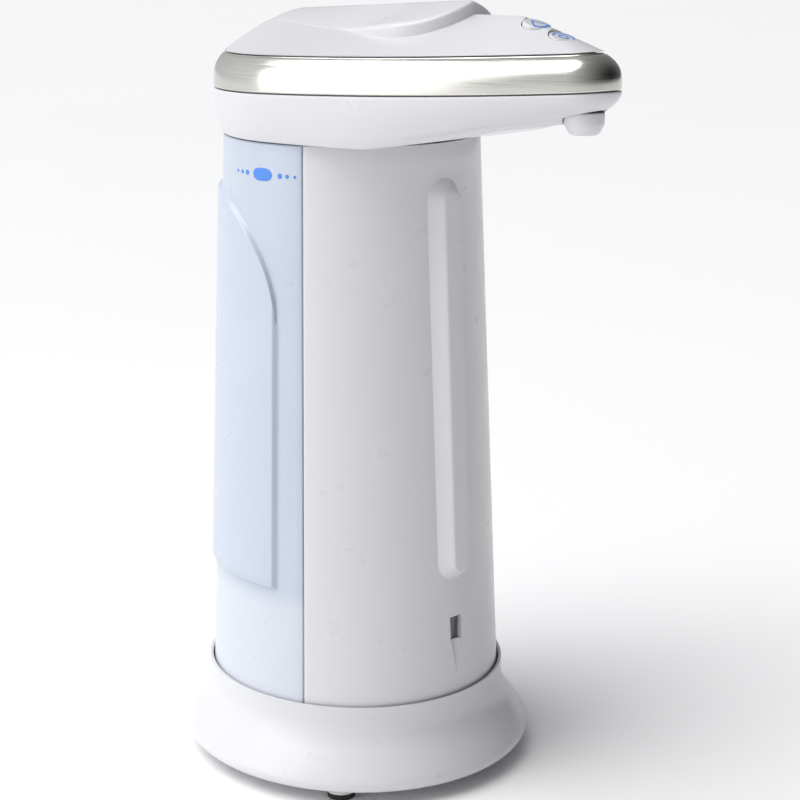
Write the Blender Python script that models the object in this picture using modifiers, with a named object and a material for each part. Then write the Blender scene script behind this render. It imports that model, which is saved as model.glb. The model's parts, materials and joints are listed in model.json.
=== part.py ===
"""Touch-free soap dispenser on a round foot, modelled in metres with +Z up and the spout towards -Y.

The origin is the middle of the object's footprint, on the surface that it stands on. Places on the
object are given as (x, forward, z), where forward is measured from the column's axis to the spout.
"""

import math

import bpy
import bmesh
from mathutils import Vector

MM = 0.001

# Column: an oval, tapered tube that is split into a front cover and a tank behind it.
COLUMN_FOOT_Z = 23.3 * MM
COLUMN_TOP_Z = 158.3 * MM
COLUMN_FOOT_HALF_X = 35.8 * MM
COLUMN_FOOT_HALF_Y = 37.7 * MM
COLUMN_TOP_HALF_X = 31.0 * MM
COLUMN_TOP_HALF_Y = 31.3 * MM
SEAM_AZIMUTH = math.radians(64.0)
COVER_WALL = 2.0 * MM
TANK_WALL = 1.8 * MM
TANK_FLOOR_Z = 49.0 * MM
GAP = 0.3 * MM

# Base: a turned, flared skirt, a little longer than it is wide.
BASE_HALF_X = 43.6 * MM
BASE_OVAL = 1.055
BASE_RIM_Z = 3.6 * MM
DECK_TOP_Z = 19.5 * MM
DECK_THICK = 1.8 * MM
COLLAR_WALL = 0.7 * MM
PLATE_Z = 4.0 * MM
PLATE_THICK = 2.0 * MM
FOOT_X = 27.5 * MM
FOOT_FORWARD = 25.0 * MM
FOOT_PAD_RADIUS = 3.4 * MM
FOOT_PAD_HEIGHT = 1.4 * MM
PEG_RADIUS = 4.2 * MM

# Head: an egg-shaped plan made of a rear arc, two long side arcs and a nose arc.
HEAD_REAR_RADIUS = 33.5 * MM
HEAD_REAR_FORWARD = 0.5 * MM
NOSE_RADIUS = 9.6 * MM
NOSE_FORWARD = 71.9 * MM
SIDE_RADIUS = 260.0 * MM
HEAD_WALL = 2.0 * MM
HEAD_FLOOR_SETBACK = 1.6 * MM
NOSE_FLOOR_SETBACK = 6.5 * MM
BAND_THICK = 1.2 * MM
BAND_LOW_Z = COLUMN_TOP_Z + 11.0 * MM
BAND_HIGH_Z = COLUMN_TOP_Z + 19.1 * MM
HEAD_INSIDE_Z = COLUMN_TOP_Z + 11.7 * MM
BAND_TOP_SETBACK = 2.8 * MM
BAND_NOSE_SETBACK = 4.0 * MM
SKIRT_DEPTH = 1.5 * MM
SKIRT_WALL = 1.2 * MM
RIDGE_REAR = -17.0 * MM
RIDGE_FRONT = 56.0 * MM
RIDGE_REAR_Z = COLUMN_TOP_Z + 28.6 * MM
RIDGE_FRONT_Z = COLUMN_TOP_Z + 29.4 * MM

# Filler lid: a tongue that rises towards the front and turns on a pin at the rear.
LID_NOSE_RADIUS = 15.0 * MM
LID_NOSE_FORWARD = 26.0 * MM
LID_REAR_HALF = 10.0 * MM
LID_RISE = 3.1 * MM
LID_DECK_Z = COLUMN_TOP_Z + 23.5 * MM
LID_DECK_THICK = 1.8 * MM
LID_WALL = 1.5 * MM
LID_PIVOT_FORWARD = -21.0 * MM
LID_PIVOT_Z = COLUMN_TOP_Z + 23.1 * MM
LID_BARREL_RADIUS = 4.1 * MM
LID_PIN_RADIUS = 0.9 * MM
MOUTH_HALF_X = 7.5 * MM
MOUTH_REAR = -13.0 * MM
MOUTH_FRONT = 9.0 * MM

# Spout.
NOZZLE_FORWARD = 74.2 * MM
NOZZLE_TOP_RADIUS = 4.4 * MM
NOZZLE_TIP_RADIUS = 3.0 * MM
NOZZLE_TIP_Z = COLUMN_TOP_Z + 5.2 * MM
NOZZLE_TOP_Z = COLUMN_TOP_Z + 10.2 * MM
NOZZLE_BORE = 1.3 * MM

# Keys on the sloping front of the head.
KEY_RADIUS = 3.2 * MM
KEY_GAP = 0.25 * MM
KEY_DEPTH = 4.2 * MM
KEY_FLANGE = 0.45 * MM
KEY_TRAVEL = 0.8 * MM
KEY_REAR_FORWARD = 60.2 * MM
KEY_SPACING = 2 * (KEY_RADIUS + KEY_FLANGE) + 0.3 * MM
KEY_FORWARDS = (KEY_REAR_FORWARD, KEY_REAR_FORWARD + KEY_SPACING)

# Batteries: four AAA cells side by side.
CELL_RADIUS = 5.1 * MM
CELL_LENGTH = 44.5 * MM
CELL_PITCH = 2 * CELL_RADIUS + 0.4 * MM
DOOR_THICK = 1.5 * MM
CELL_Z = PLATE_Z + DOOR_THICK + GAP + CELL_RADIUS
BAY_HALF_X = 2 * CELL_PITCH + 0.4 * MM
BAY_HALF_Y = CELL_LENGTH / 2 + 2.35 * MM
BAY_WALL = 1.4 * MM
BAY_TOP_Z = CELL_Z + CELL_RADIUS + GAP
BAY_ROOF = 1.1 * MM
DOOR_REAR_GAP = 1.0 * MM

# Gear pump, its reduction and its motor, on upright axes in front of the tank.
DRIVE_FORWARD = 23.5 * MM
PUMP_Z = 56.5 * MM
PUMP_HALF_X = 11.0 * MM
PUMP_HALF_Y = 6.5 * MM
PUMP_FLOOR = 1.8 * MM
PUMP_CAVITY = 6.5 * MM
PUMP_TEETH = 10
PUMP_MODULE = 0.8 * MM
GEAR_GAP = 0.1 * MM
SHAFT_RADIUS = 1.5 * MM
BEARING_GAP = 0.06 * MM
PINION_TEETH = 9
WHEEL_TEETH = 27
DRIVE_MODULE = 0.5 * MM
REDUCTION_Z = 68.0 * MM
REDUCTION_THICK = 3.0 * MM
BRACKET_Z = 72.6 * MM
BRACKET_THICK = 1.5 * MM
MOTOR_RADIUS = 7.0 * MM
MOTOR_LENGTH = 21.0 * MM
MOTOR_SHAFT_RADIUS = 1.0 * MM
PORT_RADIUS = 1.3 * MM
TUBE_RADIUS = 2.0 * MM

# Infra-red sensor behind its window, low on the front.
WINDOW_HALF = 1.9 * MM
WINDOW_LOW_Z = 36.5 * MM
WINDOW_HIGH_Z = 42.8 * MM
SCOOP_LOW_Z = 28.5 * MM
SCOOP_DEPTH = 1.4 * MM

# Rib down the front cover, and the arched panel raised on the back of the tank.
RIB_LOW_Z = 52.5 * MM
RIB_HIGH_Z = COLUMN_TOP_Z - 8.8 * MM
RIB_FOOT_HALF = 4.9 * MM
RIB_CROWN_HALF = 2.5 * MM
RIB_HEIGHT = 3.0 * MM
PANEL_AZIMUTH = math.radians(76.0)
PANEL_BEND = math.radians(56.0)
PANEL_LOW_Z = 50.5 * MM
PANEL_SHOULDER_Z = COLUMN_TOP_Z - 41.3 * MM
PANEL_APEX_Z = COLUMN_TOP_Z - 11.8 * MM
PANEL_RISE = 1.1 * MM

COLUMN_STEPS = 24
ROUND = 28
MERGE = 0.00002

AXIS_Y = (NOSE_FORWARD + NOSE_RADIUS - BASE_HALF_X * BASE_OVAL) / 2

WHITE = ("white_plastic", (0.86, 0.86, 0.88, 1), 0.35, 0.0)
SATIN = ("satin_metal", (0.66, 0.66, 0.64, 1), 0.25, 1.0)
TANK_BLUE = ("tank_plastic", (0.72, 0.78, 0.88, 0.6), 0.25, 0.0)
BLACK_RUBBER = ("black_rubber", (0.02, 0.02, 0.02, 1), 0.8, 0.0)
CLEAR_SILICONE = ("silicone", (0.85, 0.86, 0.84, 0.7), 0.5, 0.0)
STEEL = ("steel", (0.6, 0.6, 0.6, 1), 0.3, 1.0)
BRASS = ("brass", (0.72, 0.55, 0.25, 1), 0.3, 1.0)
ACETAL = ("acetal", (0.8, 0.8, 0.76, 1), 0.4, 0.0)
SMOKED = ("smoked_plastic", (0.05, 0.02, 0.03, 1), 0.1, 0.0)
BOARD_GREEN = ("board", (0.03, 0.22, 0.1, 1), 0.5, 0.0)
CELL_WRAP = ("cell_wrap", (0.15, 0.3, 0.2, 1), 0.35, 0.3)
BLACK_PLASTIC = ("black_plastic", (0.03, 0.03, 0.035, 1), 0.45, 0.0)


# ---------------------------------------------------------------- scene helpers

def clear_scene():
    for thing in list(bpy.data.objects):
        bpy.data.objects.remove(thing)


def new_collection(name):
    group = bpy.data.collections.new(name)
    bpy.context.scene.collection.children.link(group)
    return group


def material(look):
    name, colour, roughness, metallic = look
    made = bpy.data.materials.get(name)
    if made:
        return made
    made = bpy.data.materials.new(name)
    made.use_nodes = True
    shader = made.node_tree.nodes["Principled BSDF"]
    shader.inputs["Base Color"].default_value = colour
    shader.inputs["Roughness"].default_value = roughness
    shader.inputs["Metallic"].default_value = metallic
    shader.inputs["Alpha"].default_value = colour[3]
    return made


def add(name, mesh, group):
    piece = bpy.data.objects.new(name, mesh)
    group.objects.link(piece)
    return piece


def part(piece, look):
    """Give a finished sub-part its own look."""
    own = material(look).copy()
    own.name = piece.name
    piece.data.materials.clear()
    piece.data.materials.append(own)
    return piece


def from_bmesh(name, made, group):
    mesh = bpy.data.meshes.new(name)
    made.to_mesh(mesh)
    made.free()
    return add(name, mesh, group)


def as_cutter(piece):
    piece.hide_render = True
    piece.display_type = "WIRE"
    return piece


def boolean(piece, operand, operation):
    step = piece.modifiers.new(operation.lower(), "BOOLEAN")
    step.operation = operation
    step.object = as_cutter(operand)
    return piece


def cut(piece, *cutters):
    for cutter in cutters:
        boolean(piece, cutter, "DIFFERENCE")
    return piece


def join(piece, *others):
    for other in others:
        boolean(piece, other, "UNION")
    return piece


def at(x, forward, z):
    """A place from the column's axis, towards the spout and up."""
    return Vector((x, AXIS_Y - forward, z))


def blend(low, high, share):
    return low + (high - low) * share


def clamp(value, low=0.0, high=1.0):
    return max(low, min(high, value))


def smooth(value):
    share = clamp(value)
    return share * share * (3 - 2 * share)


# ---------------------------------------------------------------- solid makers

def box(name, low, high, group):
    """A block between two corners, given as (x, forward, z)."""
    a = at(*low)
    b = at(*high)
    made = bmesh.new()
    bmesh.ops.create_cube(made, size=1.0)
    size = Vector((abs(b.x - a.x), abs(b.y - a.y), abs(b.z - a.z)))
    bmesh.ops.scale(made, vec=size, verts=made.verts)
    bmesh.ops.translate(made, vec=(a + b) / 2, verts=made.verts)
    return from_bmesh(name, made, group)


def rod(name, place, radius, length, group, direction=(0, 0, 1), tip_radius=None, sides=ROUND):
    """A cylinder or cone that starts at place and runs along direction."""
    tip = radius if tip_radius is None else tip_radius
    made = bmesh.new()
    bmesh.ops.create_cone(made, cap_ends=True, segments=sides, radius1=radius, radius2=tip,
                          depth=length)
    bmesh.ops.translate(made, vec=(0, 0, length / 2), verts=made.verts)
    turn = Vector((0, 0, 1)).rotation_difference(Vector(direction)).to_matrix()
    bmesh.ops.rotate(made, cent=(0, 0, 0), matrix=turn, verts=made.verts)
    bmesh.ops.translate(made, vec=place, verts=made.verts)
    return from_bmesh(name, made, group)


def turned(name, profile, place, group, oval=1.0, steps=ROUND):
    """A profile of (radius, z) points, turned about an upright axis through place."""
    mesh = bpy.data.meshes.new(name)
    closed = profile[0][0] > 0
    count = len(profile)
    edges = [(i, (i + 1) % count) for i in range(count if closed else count - 1)]
    mesh.from_pydata([(radius, 0.0, z) for radius, z in profile], edges, [])
    piece = add(name, mesh, group)
    piece.location = place
    piece.scale = (1, oval, 1)
    spin = piece.modifiers.new("turn", "SCREW")
    spin.steps = steps
    spin.render_steps = steps
    spin.use_merge_vertices = True
    spin.merge_threshold = MERGE
    spin.use_smooth_shade = False
    return piece


def loft(name, rings, group, capped=True):
    """Skin closed rings of equal length, with flat ends or with ends that close on a ridge."""
    made = bmesh.new()
    rows = [[made.verts.new(point) for point in ring] for ring in rings]
    for row, following in zip(rows, rows[1:]):
        for i in range(len(row)):
            j = (i + 1) % len(row)
            made.faces.new((row[i], row[j], following[j], following[i]))
    if capped:
        made.faces.new(rows[0])
        made.faces.new(rows[-1])
    bmesh.ops.remove_doubles(made, verts=made.verts, dist=MERGE)
    bmesh.ops.dissolve_degenerate(made, edges=made.edges, dist=MERGE / 10)
    bmesh.ops.recalc_face_normals(made, faces=made.faces)
    return from_bmesh(name, made, group)


def prism(name, outline, low_z, high_z, group):
    """An upright prism over an outline of (x, forward) points."""
    rings = [[at(x, forward, z) for x, forward in outline] for z in (low_z, high_z)]
    return loft(name, rings, group)


def tube(name, points, radius, group, detail=2):
    """A round tube or wire along points, with flat ends."""
    curve = bpy.data.curves.new(name, "CURVE")
    curve.dimensions = "3D"
    curve.bevel_depth = radius
    curve.bevel_resolution = detail
    curve.use_fill_caps = True
    path = curve.splines.new("POLY")
    path.points.add(len(points) - 1)
    for knot, point in zip(path.points, points):
        knot.co = (*point, 1)
    return add(name, curve, group)


def smooth_path(points, steps):
    """Points along a Catmull-Rom curve through the route's own points."""
    ends = [points[0] * 2 - points[1]] + list(points) + [points[-1] * 2 - points[-2]]
    path = []
    for a, b, c, d in zip(ends, ends[1:], ends[2:], ends[3:]):
        for i in range(steps):
            s = i / steps
            path.append(0.5 * (2 * b + (c - a) * s + (2 * a - 5 * b + 4 * c - d) * s * s
                               + (3 * b - a - 3 * c + d) * s * s * s))
    path.append(points[-1])
    return path


def along(points, x):
    """The value at x of a line through (x, value) points, held level past its ends."""
    if x <= points[0][0]:
        return points[0][1]
    for (x0, y0), (x1, y1) in zip(points, points[1:]):
        if x <= x1:
            return blend(y0, y1, (x - x0) / (x1 - x0))
    return points[-1][1]


# ---------------------------------------------------------------- column outlines

def column_size(z):
    share = (z - COLUMN_FOOT_Z) / (COLUMN_TOP_Z - COLUMN_FOOT_Z)
    return (blend(COLUMN_FOOT_HALF_X, COLUMN_TOP_HALF_X, share),
            blend(COLUMN_FOOT_HALF_Y, COLUMN_TOP_HALF_Y, share))


def column_point(azimuth, z, proud=0.0):
    """A point on the column, azimuth 0 at the front and growing towards +X."""
    half_x, half_y = column_size(z)
    return at((half_x + proud) * math.sin(azimuth), (half_y + proud) * math.cos(azimuth), z)


def seam_forward(z):
    """How far forward the seam between cover and tank lies at a height."""
    return column_size(z)[1] * math.cos(SEAM_AZIMUTH)


def cover_ring(z):
    """The front cover's U-shaped section."""
    half_y = column_size(z)[1]
    edge = seam_forward(z) + GAP / 2
    ring = []
    for inset, sign in ((0.0, 1), (COVER_WALL, -1)):
        limit = math.acos(edge / (half_y - inset))
        turns = [sign * limit * (2 * i / COLUMN_STEPS - 1) for i in range(COLUMN_STEPS + 1)]
        ring += [column_point(a, z, -inset) for a in turns]
    return ring


def tank_ring(z, setback=0.0):
    """The tank's D-shaped section, drawn in by a setback all round."""
    half_y = column_size(z)[1]
    chord = seam_forward(z) - GAP / 2 - setback
    start = math.acos(chord / (half_y - setback))
    sweep = 2 * math.pi - 2 * start
    turns = [start + sweep * i / COLUMN_STEPS for i in range(COLUMN_STEPS + 1)]
    return [column_point(a, z, -setback) for a in turns]


def tank_solid(name, low_z, high_z, setback, group):
    return loft(name, [tank_ring(low_z, setback), tank_ring(high_z, setback)], group)


# ---------------------------------------------------------------- head outlines

def head_arcs():
    """Centre and end angle of the side arc that touches the rear and nose arcs from outside."""
    span = NOSE_FORWARD - HEAD_REAR_FORWARD
    to_rear = SIDE_RADIUS - HEAD_REAR_RADIUS
    to_nose = SIDE_RADIUS - NOSE_RADIUS
    forward = (to_rear ** 2 - to_nose ** 2 + span ** 2) / (2 * span)
    across = -math.sqrt(to_rear ** 2 - forward ** 2)
    rear_turn = math.atan2(-forward, -across)
    nose_turn = math.atan2(span - forward, -across)
    return across, HEAD_REAR_FORWARD + forward, rear_turn, nose_turn


def half_outline():
    """(x, forward, normal x, normal forward) from the rear to the nose, on the +X side."""
    across, forward, rear_turn, nose_turn = head_arcs()
    arcs = ((0.0, HEAD_REAR_FORWARD, HEAD_REAR_RADIUS, -math.pi / 2, rear_turn, 9),
            (across, forward, SIDE_RADIUS, rear_turn, nose_turn, 6),
            (0.0, NOSE_FORWARD, NOSE_RADIUS, nose_turn, math.pi / 2, 5))
    points = []
    for cx, cf, radius, start, end, steps in arcs:
        for i in range(steps):
            a = blend(start, end, i / steps)
            points.append((cx + radius * math.cos(a), cf + radius * math.sin(a), math.cos(a),
                           math.sin(a)))
    points.append((0.0, NOSE_FORWARD + NOSE_RADIUS, 0.0, 1.0))
    return points


def head_outline():
    right = half_outline()
    left = [(-x, f, -nx, nf) for x, f, nx, nf in reversed(right[1:-1])]
    return right + left


HEAD_OUTLINE = head_outline()


def nose_share(forward):
    return smooth((forward - 20 * MM) / (48 * MM))


def band_low_z(forward):
    return BAND_LOW_Z + 4.2 * MM * ((forward + 35 * MM) / (120 * MM)) ** 2


def band_high_z(forward):
    return BAND_HIGH_Z + 3.4 * MM * ((forward + 35 * MM) / (115 * MM)) ** 2


def band_middle_z(forward):
    return (band_low_z(forward) + band_high_z(forward)) / 2


def band_setback(forward):
    return blend(BAND_TOP_SETBACK, BAND_NOSE_SETBACK, nose_share(forward))


def floor_setback(forward):
    return blend(HEAD_FLOOR_SETBACK, NOSE_FLOOR_SETBACK, nose_share(forward))


def underside_z(forward):
    """The lower shell's floor: level over the column, then rising to the spout."""
    rise = along(((31 * MM, 0.0), (50 * MM, 3.4 * MM), (59 * MM, 5.4 * MM), (68 * MM, 6.8 * MM),
                  (76 * MM, 8.4 * MM)), forward)
    return COLUMN_TOP_Z + rise


def ridge_z(forward):
    share = clamp((forward - RIDGE_REAR) / (RIDGE_FRONT - RIDGE_REAR))
    return blend(RIDGE_REAR_Z, RIDGE_FRONT_Z, share)


def head_ring(setback, height):
    """A ring of the head's outline, with a setback and a height that follow the place forward."""
    ring = []
    for x, forward, normal_x, normal_forward in HEAD_OUTLINE:
        d = setback(forward)
        ring.append(at(x - normal_x * d, forward - normal_forward * d, height(forward)))
    return ring


def fullness(forward):
    """How boxy the dome is: round at the rear, nearly straight at the sides, straight at the nose."""
    rear = smooth((5 * MM - forward) / (35 * MM))
    return blend(1.08, 1.65, rear)


def dome_ring(share, extra, drop):
    """A ring between the ridge (share 0) and the dome's edge (share 1)."""
    ring = []
    for x, forward, normal_x, normal_forward in HEAD_OUTLINE:
        d = band_setback(forward) + extra
        edge_x = x - normal_x * d
        edge_forward = forward - normal_forward * d
        ridge_forward = clamp(edge_forward, RIDGE_REAR, RIDGE_FRONT)
        low = band_high_z(forward) + GAP
        high = ridge_z(ridge_forward)
        z = low + (high - low) * (1 - share ** fullness(edge_forward)) - drop
        ring.append(at(edge_x * share, blend(ridge_forward, edge_forward, share), z))
    return ring


def dome_rings(extra, drop, shares=(1.0, 0.85, 0.68, 0.5, 0.3, 0.12, 0.0)):
    return [dome_ring(share, extra, drop) for share in shares]


# ---------------------------------------------------------------- filler lid outlines

def tongue_half(forward):
    """Half the tongue's width behind its round nose."""
    share = clamp((forward - LID_PIVOT_FORWARD) / (LID_NOSE_FORWARD - LID_PIVOT_FORWARD))
    return blend(LID_REAR_HALF, LID_NOSE_RADIUS, share)


def tongue_outline(grow=0.0, rear=LID_PIVOT_FORWARD):
    """The lid's plan: a round nose at the front and sides that close in to the rear."""
    nose = []
    steps = 14
    for i in range(steps + 1):
        a = math.pi * i / steps
        nose.append(((LID_NOSE_RADIUS + grow) * math.cos(a),
                     LID_NOSE_FORWARD + (LID_NOSE_RADIUS + grow) * math.sin(a)))
    runs = 6
    left = []
    for i in range(1, runs + 1):
        forward = blend(LID_NOSE_FORWARD, rear, i / runs)
        left.append((-tongue_half(forward) - grow, forward))
    right = [(-x, forward) for x, forward in reversed(left)]
    return nose + left + right


def edge_share(x, forward):
    """Where a place lies between the ridge (0) and the dome's edge (1)."""
    ridge_forward = clamp(forward, RIDGE_REAR, RIDGE_FRONT)
    best = 1.0
    away = Vector((x, forward - ridge_forward))
    if away.length < MM * 0.01:
        return 0.0
    half = [(px - nx * band_setback(f), f - nf * band_setback(f)) for px, f, nx, nf in half_outline()]
    for (ax, af), (bx, bf) in zip(half, half[1:]):
        edge = Vector((bx - ax, bf - af))
        start = Vector((ax, af - ridge_forward))
        aim = Vector((abs(x), away.y))
        cross = aim.x * edge.y - aim.y * edge.x
        if abs(cross) < 1e-14:
            continue
        reach = (start.x * edge.y - start.y * edge.x) / cross
        share = (start.x * aim.y - start.y * aim.x) / cross
        if reach > 0 and -1e-6 <= share <= 1 + 1e-6:
            best = 1 / reach
            break
    return clamp(best)


def dome_z(x, forward):
    share = edge_share(x, forward)
    low = band_high_z(forward) + GAP
    return low + (ridge_z(forward) - low) * (1 - share ** fullness(forward))


def lid_z(x, forward):
    """The lid's top: flush with the dome at the rear, and standing proud of it towards the nose."""
    middle = clamp((forward - RIDGE_REAR) / (LID_NOSE_FORWARD + LID_NOSE_RADIUS - RIDGE_REAR))
    side = smooth((forward - 10 * MM) / (22 * MM))
    across = clamp(abs(x) / LID_NOSE_RADIUS)
    return dome_z(x, forward) + LID_RISE * blend(middle, side, across)


# ---------------------------------------------------------------- base

def base_profile():
    """The skirt's section: down the outside from the collar's lip, then up the inside."""
    collar = column_size(DECK_TOP_Z)[0] + GAP
    rim = BASE_HALF_X
    outside = [(collar + COLLAR_WALL, COLUMN_FOOT_Z), (collar + COLLAR_WALL, 19.0 * MM),
               (collar + 1.1 * MM, 16.6 * MM), (rim - 5.2 * MM, 14.2 * MM), (rim - 3.7 * MM, 12.0 * MM),
               (rim - 2.3 * MM, 10.0 * MM), (rim - 1.1 * MM, 8.2 * MM), (rim - 0.3 * MM, 6.8 * MM),
               (rim, 5.7 * MM), (rim - 0.3 * MM, 4.7 * MM), (rim - 1.1 * MM, 3.9 * MM),
               (rim - 1.8 * MM, BASE_RIM_Z)]
    inner = rim - 2.6 * MM
    inside = [(inner, BASE_RIM_Z), (inner, 6.6 * MM), (rim - 3.0 * MM, 7.8 * MM),
              (rim - 4.1 * MM, 9.6 * MM), (rim - 5.7 * MM, 11.4 * MM), (rim - 7.2 * MM, 13.6 * MM),
              (rim - 8.1 * MM, 16.0 * MM), (rim - 8.4 * MM, DECK_TOP_Z - DECK_THICK)]
    top = [(0.0, DECK_TOP_Z), (collar, DECK_TOP_Z), (collar, COLUMN_FOOT_Z - 0.2 * MM)]
    return top + outside + inside + [(0.0, DECK_TOP_Z - DECK_THICK)]


def make_base_shell(parts, cutters):
    shell = turned("base_shell", base_profile(), at(0, 0, 0), parts, BASE_OVAL, 44)
    hole = rod("deck_wire_hole", at(15 * MM, 22 * MM, 15 * MM), 3.4 * MM, 8 * MM, cutters)
    part(cut(shell, hole), WHITE)


def plate_half_x():
    return BASE_HALF_X - 2.6 * MM - GAP


def feet_places():
    return [(sx * FOOT_X, sf * FOOT_FORWARD) for sx in (-1, 1) for sf in (-1, 1)]


def make_base_plate(parts, cutters):
    """Bottom plate with the battery bay above it and four pegs for the feet below it."""
    half = plate_half_x()
    low = PLATE_Z
    high = PLATE_Z + PLATE_THICK
    plate = turned("base_plate", [(0.0, high), (half, high), (half, low), (0.0, low)], at(0, 0, 0),
                   parts, BASE_OVAL, 44)
    wall_x = BAY_HALF_X + BAY_WALL
    wall_y = BAY_HALF_Y + BAY_WALL
    bay = box("bay_block", (-wall_x, -wall_y, low + 0.5 * MM), (wall_x, wall_y, BAY_TOP_Z + BAY_ROOF),
              cutters)
    hollow = box("bay_hollow", (-BAY_HALF_X, -BAY_HALF_Y, low - MM),
                 (BAY_HALF_X, BAY_HALF_Y, BAY_TOP_Z), cutters)
    join(plate, bay)
    peg_foot = FOOT_PAD_HEIGHT + GAP
    for n, (x, forward) in enumerate(feet_places()):
        peg = rod("peg_%d" % n, at(x, forward, peg_foot), FOOT_PAD_RADIUS + 0.3 * MM,
                  high - 0.6 * MM - peg_foot,
                  cutters, tip_radius=PEG_RADIUS)
        join(plate, peg)
    cut(plate, hollow)
    for n, (x, forward) in enumerate(screw_places()):
        cut(plate,
            rod("plate_hole_%d" % n, at(x, forward, low - MM), 1.6 * MM, 5 * MM, cutters, sides=16))
    slot = rod("bay_wire_hole", at(15 * MM, 22 * MM, BAY_TOP_Z - MM), 2.4 * MM, 4 * MM, cutters,
               sides=16)
    part(cut(plate, slot), WHITE)


def screw_places():
    return [(0.0, 33.0 * MM), (0.0, -33.0 * MM)]


def make_base_screws(parts):
    for n, (x, forward) in enumerate(screw_places()):
        mesh = turned_screw(at(x, forward, PLATE_Z - 1.6 * MM))
        part(add("base_screw_%d" % (n + 1), mesh, parts), STEEL)


def turned_screw(place, head=2.6 * MM, shank=1.25 * MM, length=12.0 * MM):
    """A mesh of one pan-head screw, head down, made from three stacked rings."""
    made = bmesh.new()
    bmesh.ops.create_cone(made, cap_ends=True, segments=16, radius1=head * 0.8, radius2=head,
                          depth=1.3 * MM)
    top = [face for face in made.faces if face.normal.z > 0.9]
    bmesh.ops.inset_region(made, faces=top, thickness=head - shank)
    raised = bmesh.ops.extrude_face_region(made, geom=top)
    verts = [item for item in raised["geom"] if isinstance(item, bmesh.types.BMVert)]
    bmesh.ops.delete(made, geom=top, context="FACES_ONLY")
    bmesh.ops.translate(made, vec=(0, 0, length - 1.3 * MM), verts=verts)
    bmesh.ops.translate(made, vec=place + Vector((0, 0, 0.65 * MM)), verts=made.verts)
    bmesh.ops.recalc_face_normals(made, faces=made.faces)
    mesh = bpy.data.meshes.new("screw")
    made.to_mesh(mesh)
    made.free()
    return mesh


def make_feet(parts):
    for n, (x, forward) in enumerate(feet_places()):
        profile = [(0.0, FOOT_PAD_HEIGHT), (FOOT_PAD_RADIUS, FOOT_PAD_HEIGHT),
                   (FOOT_PAD_RADIUS, 0.4 * MM), (FOOT_PAD_RADIUS - 0.4 * MM, 0.0), (0.0, 0.0)]
        part(turned("foot_pad_%d" % (n + 1), profile, at(x, forward, 0), parts, steps=20), BLACK_RUBBER)


def make_battery_door(parts, cutters):
    """Door that swings down about its rear edge, with a ribbed finger grip at the front."""
    rear = -BAY_HALF_Y + DOOR_REAR_GAP
    side = BAY_HALF_X - GAP
    front = BAY_HALF_Y - GAP
    door = box("battery_door", (-side, rear, PLATE_Z), (side, front, PLATE_Z + DOOR_THICK), parts)
    for n in range(4):
        forward = front - (5 + 2.2 * n) * MM
        groove = box("grip_%d" % n, (-7 * MM, forward, PLATE_Z - MM), (7 * MM, forward + 1.1 * MM,
                     PLATE_Z + 0.6 * MM), cutters)
        cut(door, groove)
    part(door, WHITE)


def cell_xs():
    return [(n - 1.5) * CELL_PITCH for n in range(4)]


def cell_end():
    """How far from the bay's middle a cell's flat end lies, leaving room for its spring."""
    return CELL_LENGTH / 2 - 0.9 * MM


def make_cells(parts):
    """Four cells along Y, alternately turned, each with its raised positive end."""
    for n, x in enumerate(cell_xs()):
        nub = 1.2 * MM
        body = CELL_LENGTH - nub
        profile = [(0.0, CELL_LENGTH), (1.9 * MM, CELL_LENGTH), (1.9 * MM, body),
                   (CELL_RADIUS - 0.5 * MM, body),
                   (CELL_RADIUS, body - 0.5 * MM), (CELL_RADIUS, 0.0), (0.0, 0.0)]
        cell = turned("battery_%d" % (n + 1), profile, (0, 0, 0), parts, steps=20)
        away = 1 if n % 2 == 0 else -1
        cell.location = at(x, -away * cell_end(), CELL_Z)
        cell.rotation_euler = (math.radians(90 * away), 0, 0)
        part(cell, CELL_WRAP)


def make_contacts(parts, cutters):
    """Contact plates at both ends of the bay, and a spring at each cell's negative end."""
    half = BAY_HALF_Y - 0.2 * MM
    thick = 0.4 * MM
    for name, forward in (("contact_plate_front", half - thick), ("contact_plate_rear", -half)):
        plate = box(name, (-BAY_HALF_X + 0.5 * MM, forward, CELL_Z - CELL_RADIUS + 0.7 * MM),
                    (BAY_HALF_X - 0.5 * MM, forward + thick, CELL_Z + CELL_RADIUS - 0.7 * MM), parts)
        window = box(name + "_gap", (-0.6 * MM, forward - MM, CELL_Z - CELL_RADIUS + 0.1 * MM),
                     (0.6 * MM, forward + thick + MM, CELL_Z + CELL_RADIUS - 1.9 * MM), cutters)
        part(cut(plate, window), STEEL)
    for n, x in enumerate(cell_xs()):
        away = 1 if n % 2 == 0 else -1
        base = -away * (half - thick - 0.35 * MM)
        tip = -away * (cell_end() + 0.45 * MM)
        points = []
        turns = 2.5
        steps = 26
        for i in range(steps + 1):
            s = i / steps
            a = 2 * math.pi * turns * s
            r = blend(3.4 * MM, 2.0 * MM, s)
            points.append(at(x + r * math.cos(a), blend(base, tip, s), CELL_Z + r * math.sin(a)))
        part(tube("battery_spring_%d" % (n + 1), points, 0.22 * MM, parts, detail=1), STEEL)


# ---------------------------------------------------------------- column

def make_tank_seat(parts, cutters):
    """White housing that the tank's skirt drops over, and that its floor rests on."""
    top = TANK_FLOOR_Z - GAP
    low = DECK_TOP_Z + GAP
    seat = tank_solid("tank_seat", low, top, TANK_WALL + GAP, parts)
    hollow = tank_solid("seat_hollow", low - MM, top - 1.6 * MM, TANK_WALL + GAP + 1.5 * MM, cutters)
    cut(seat, hollow)
    vent = box("seat_wire_slot", (8 * MM, 8 * MM, low - MM), (14 * MM, 22 * MM, low + 7 * MM), cutters)
    part(cut(seat, vent), WHITE)


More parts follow.
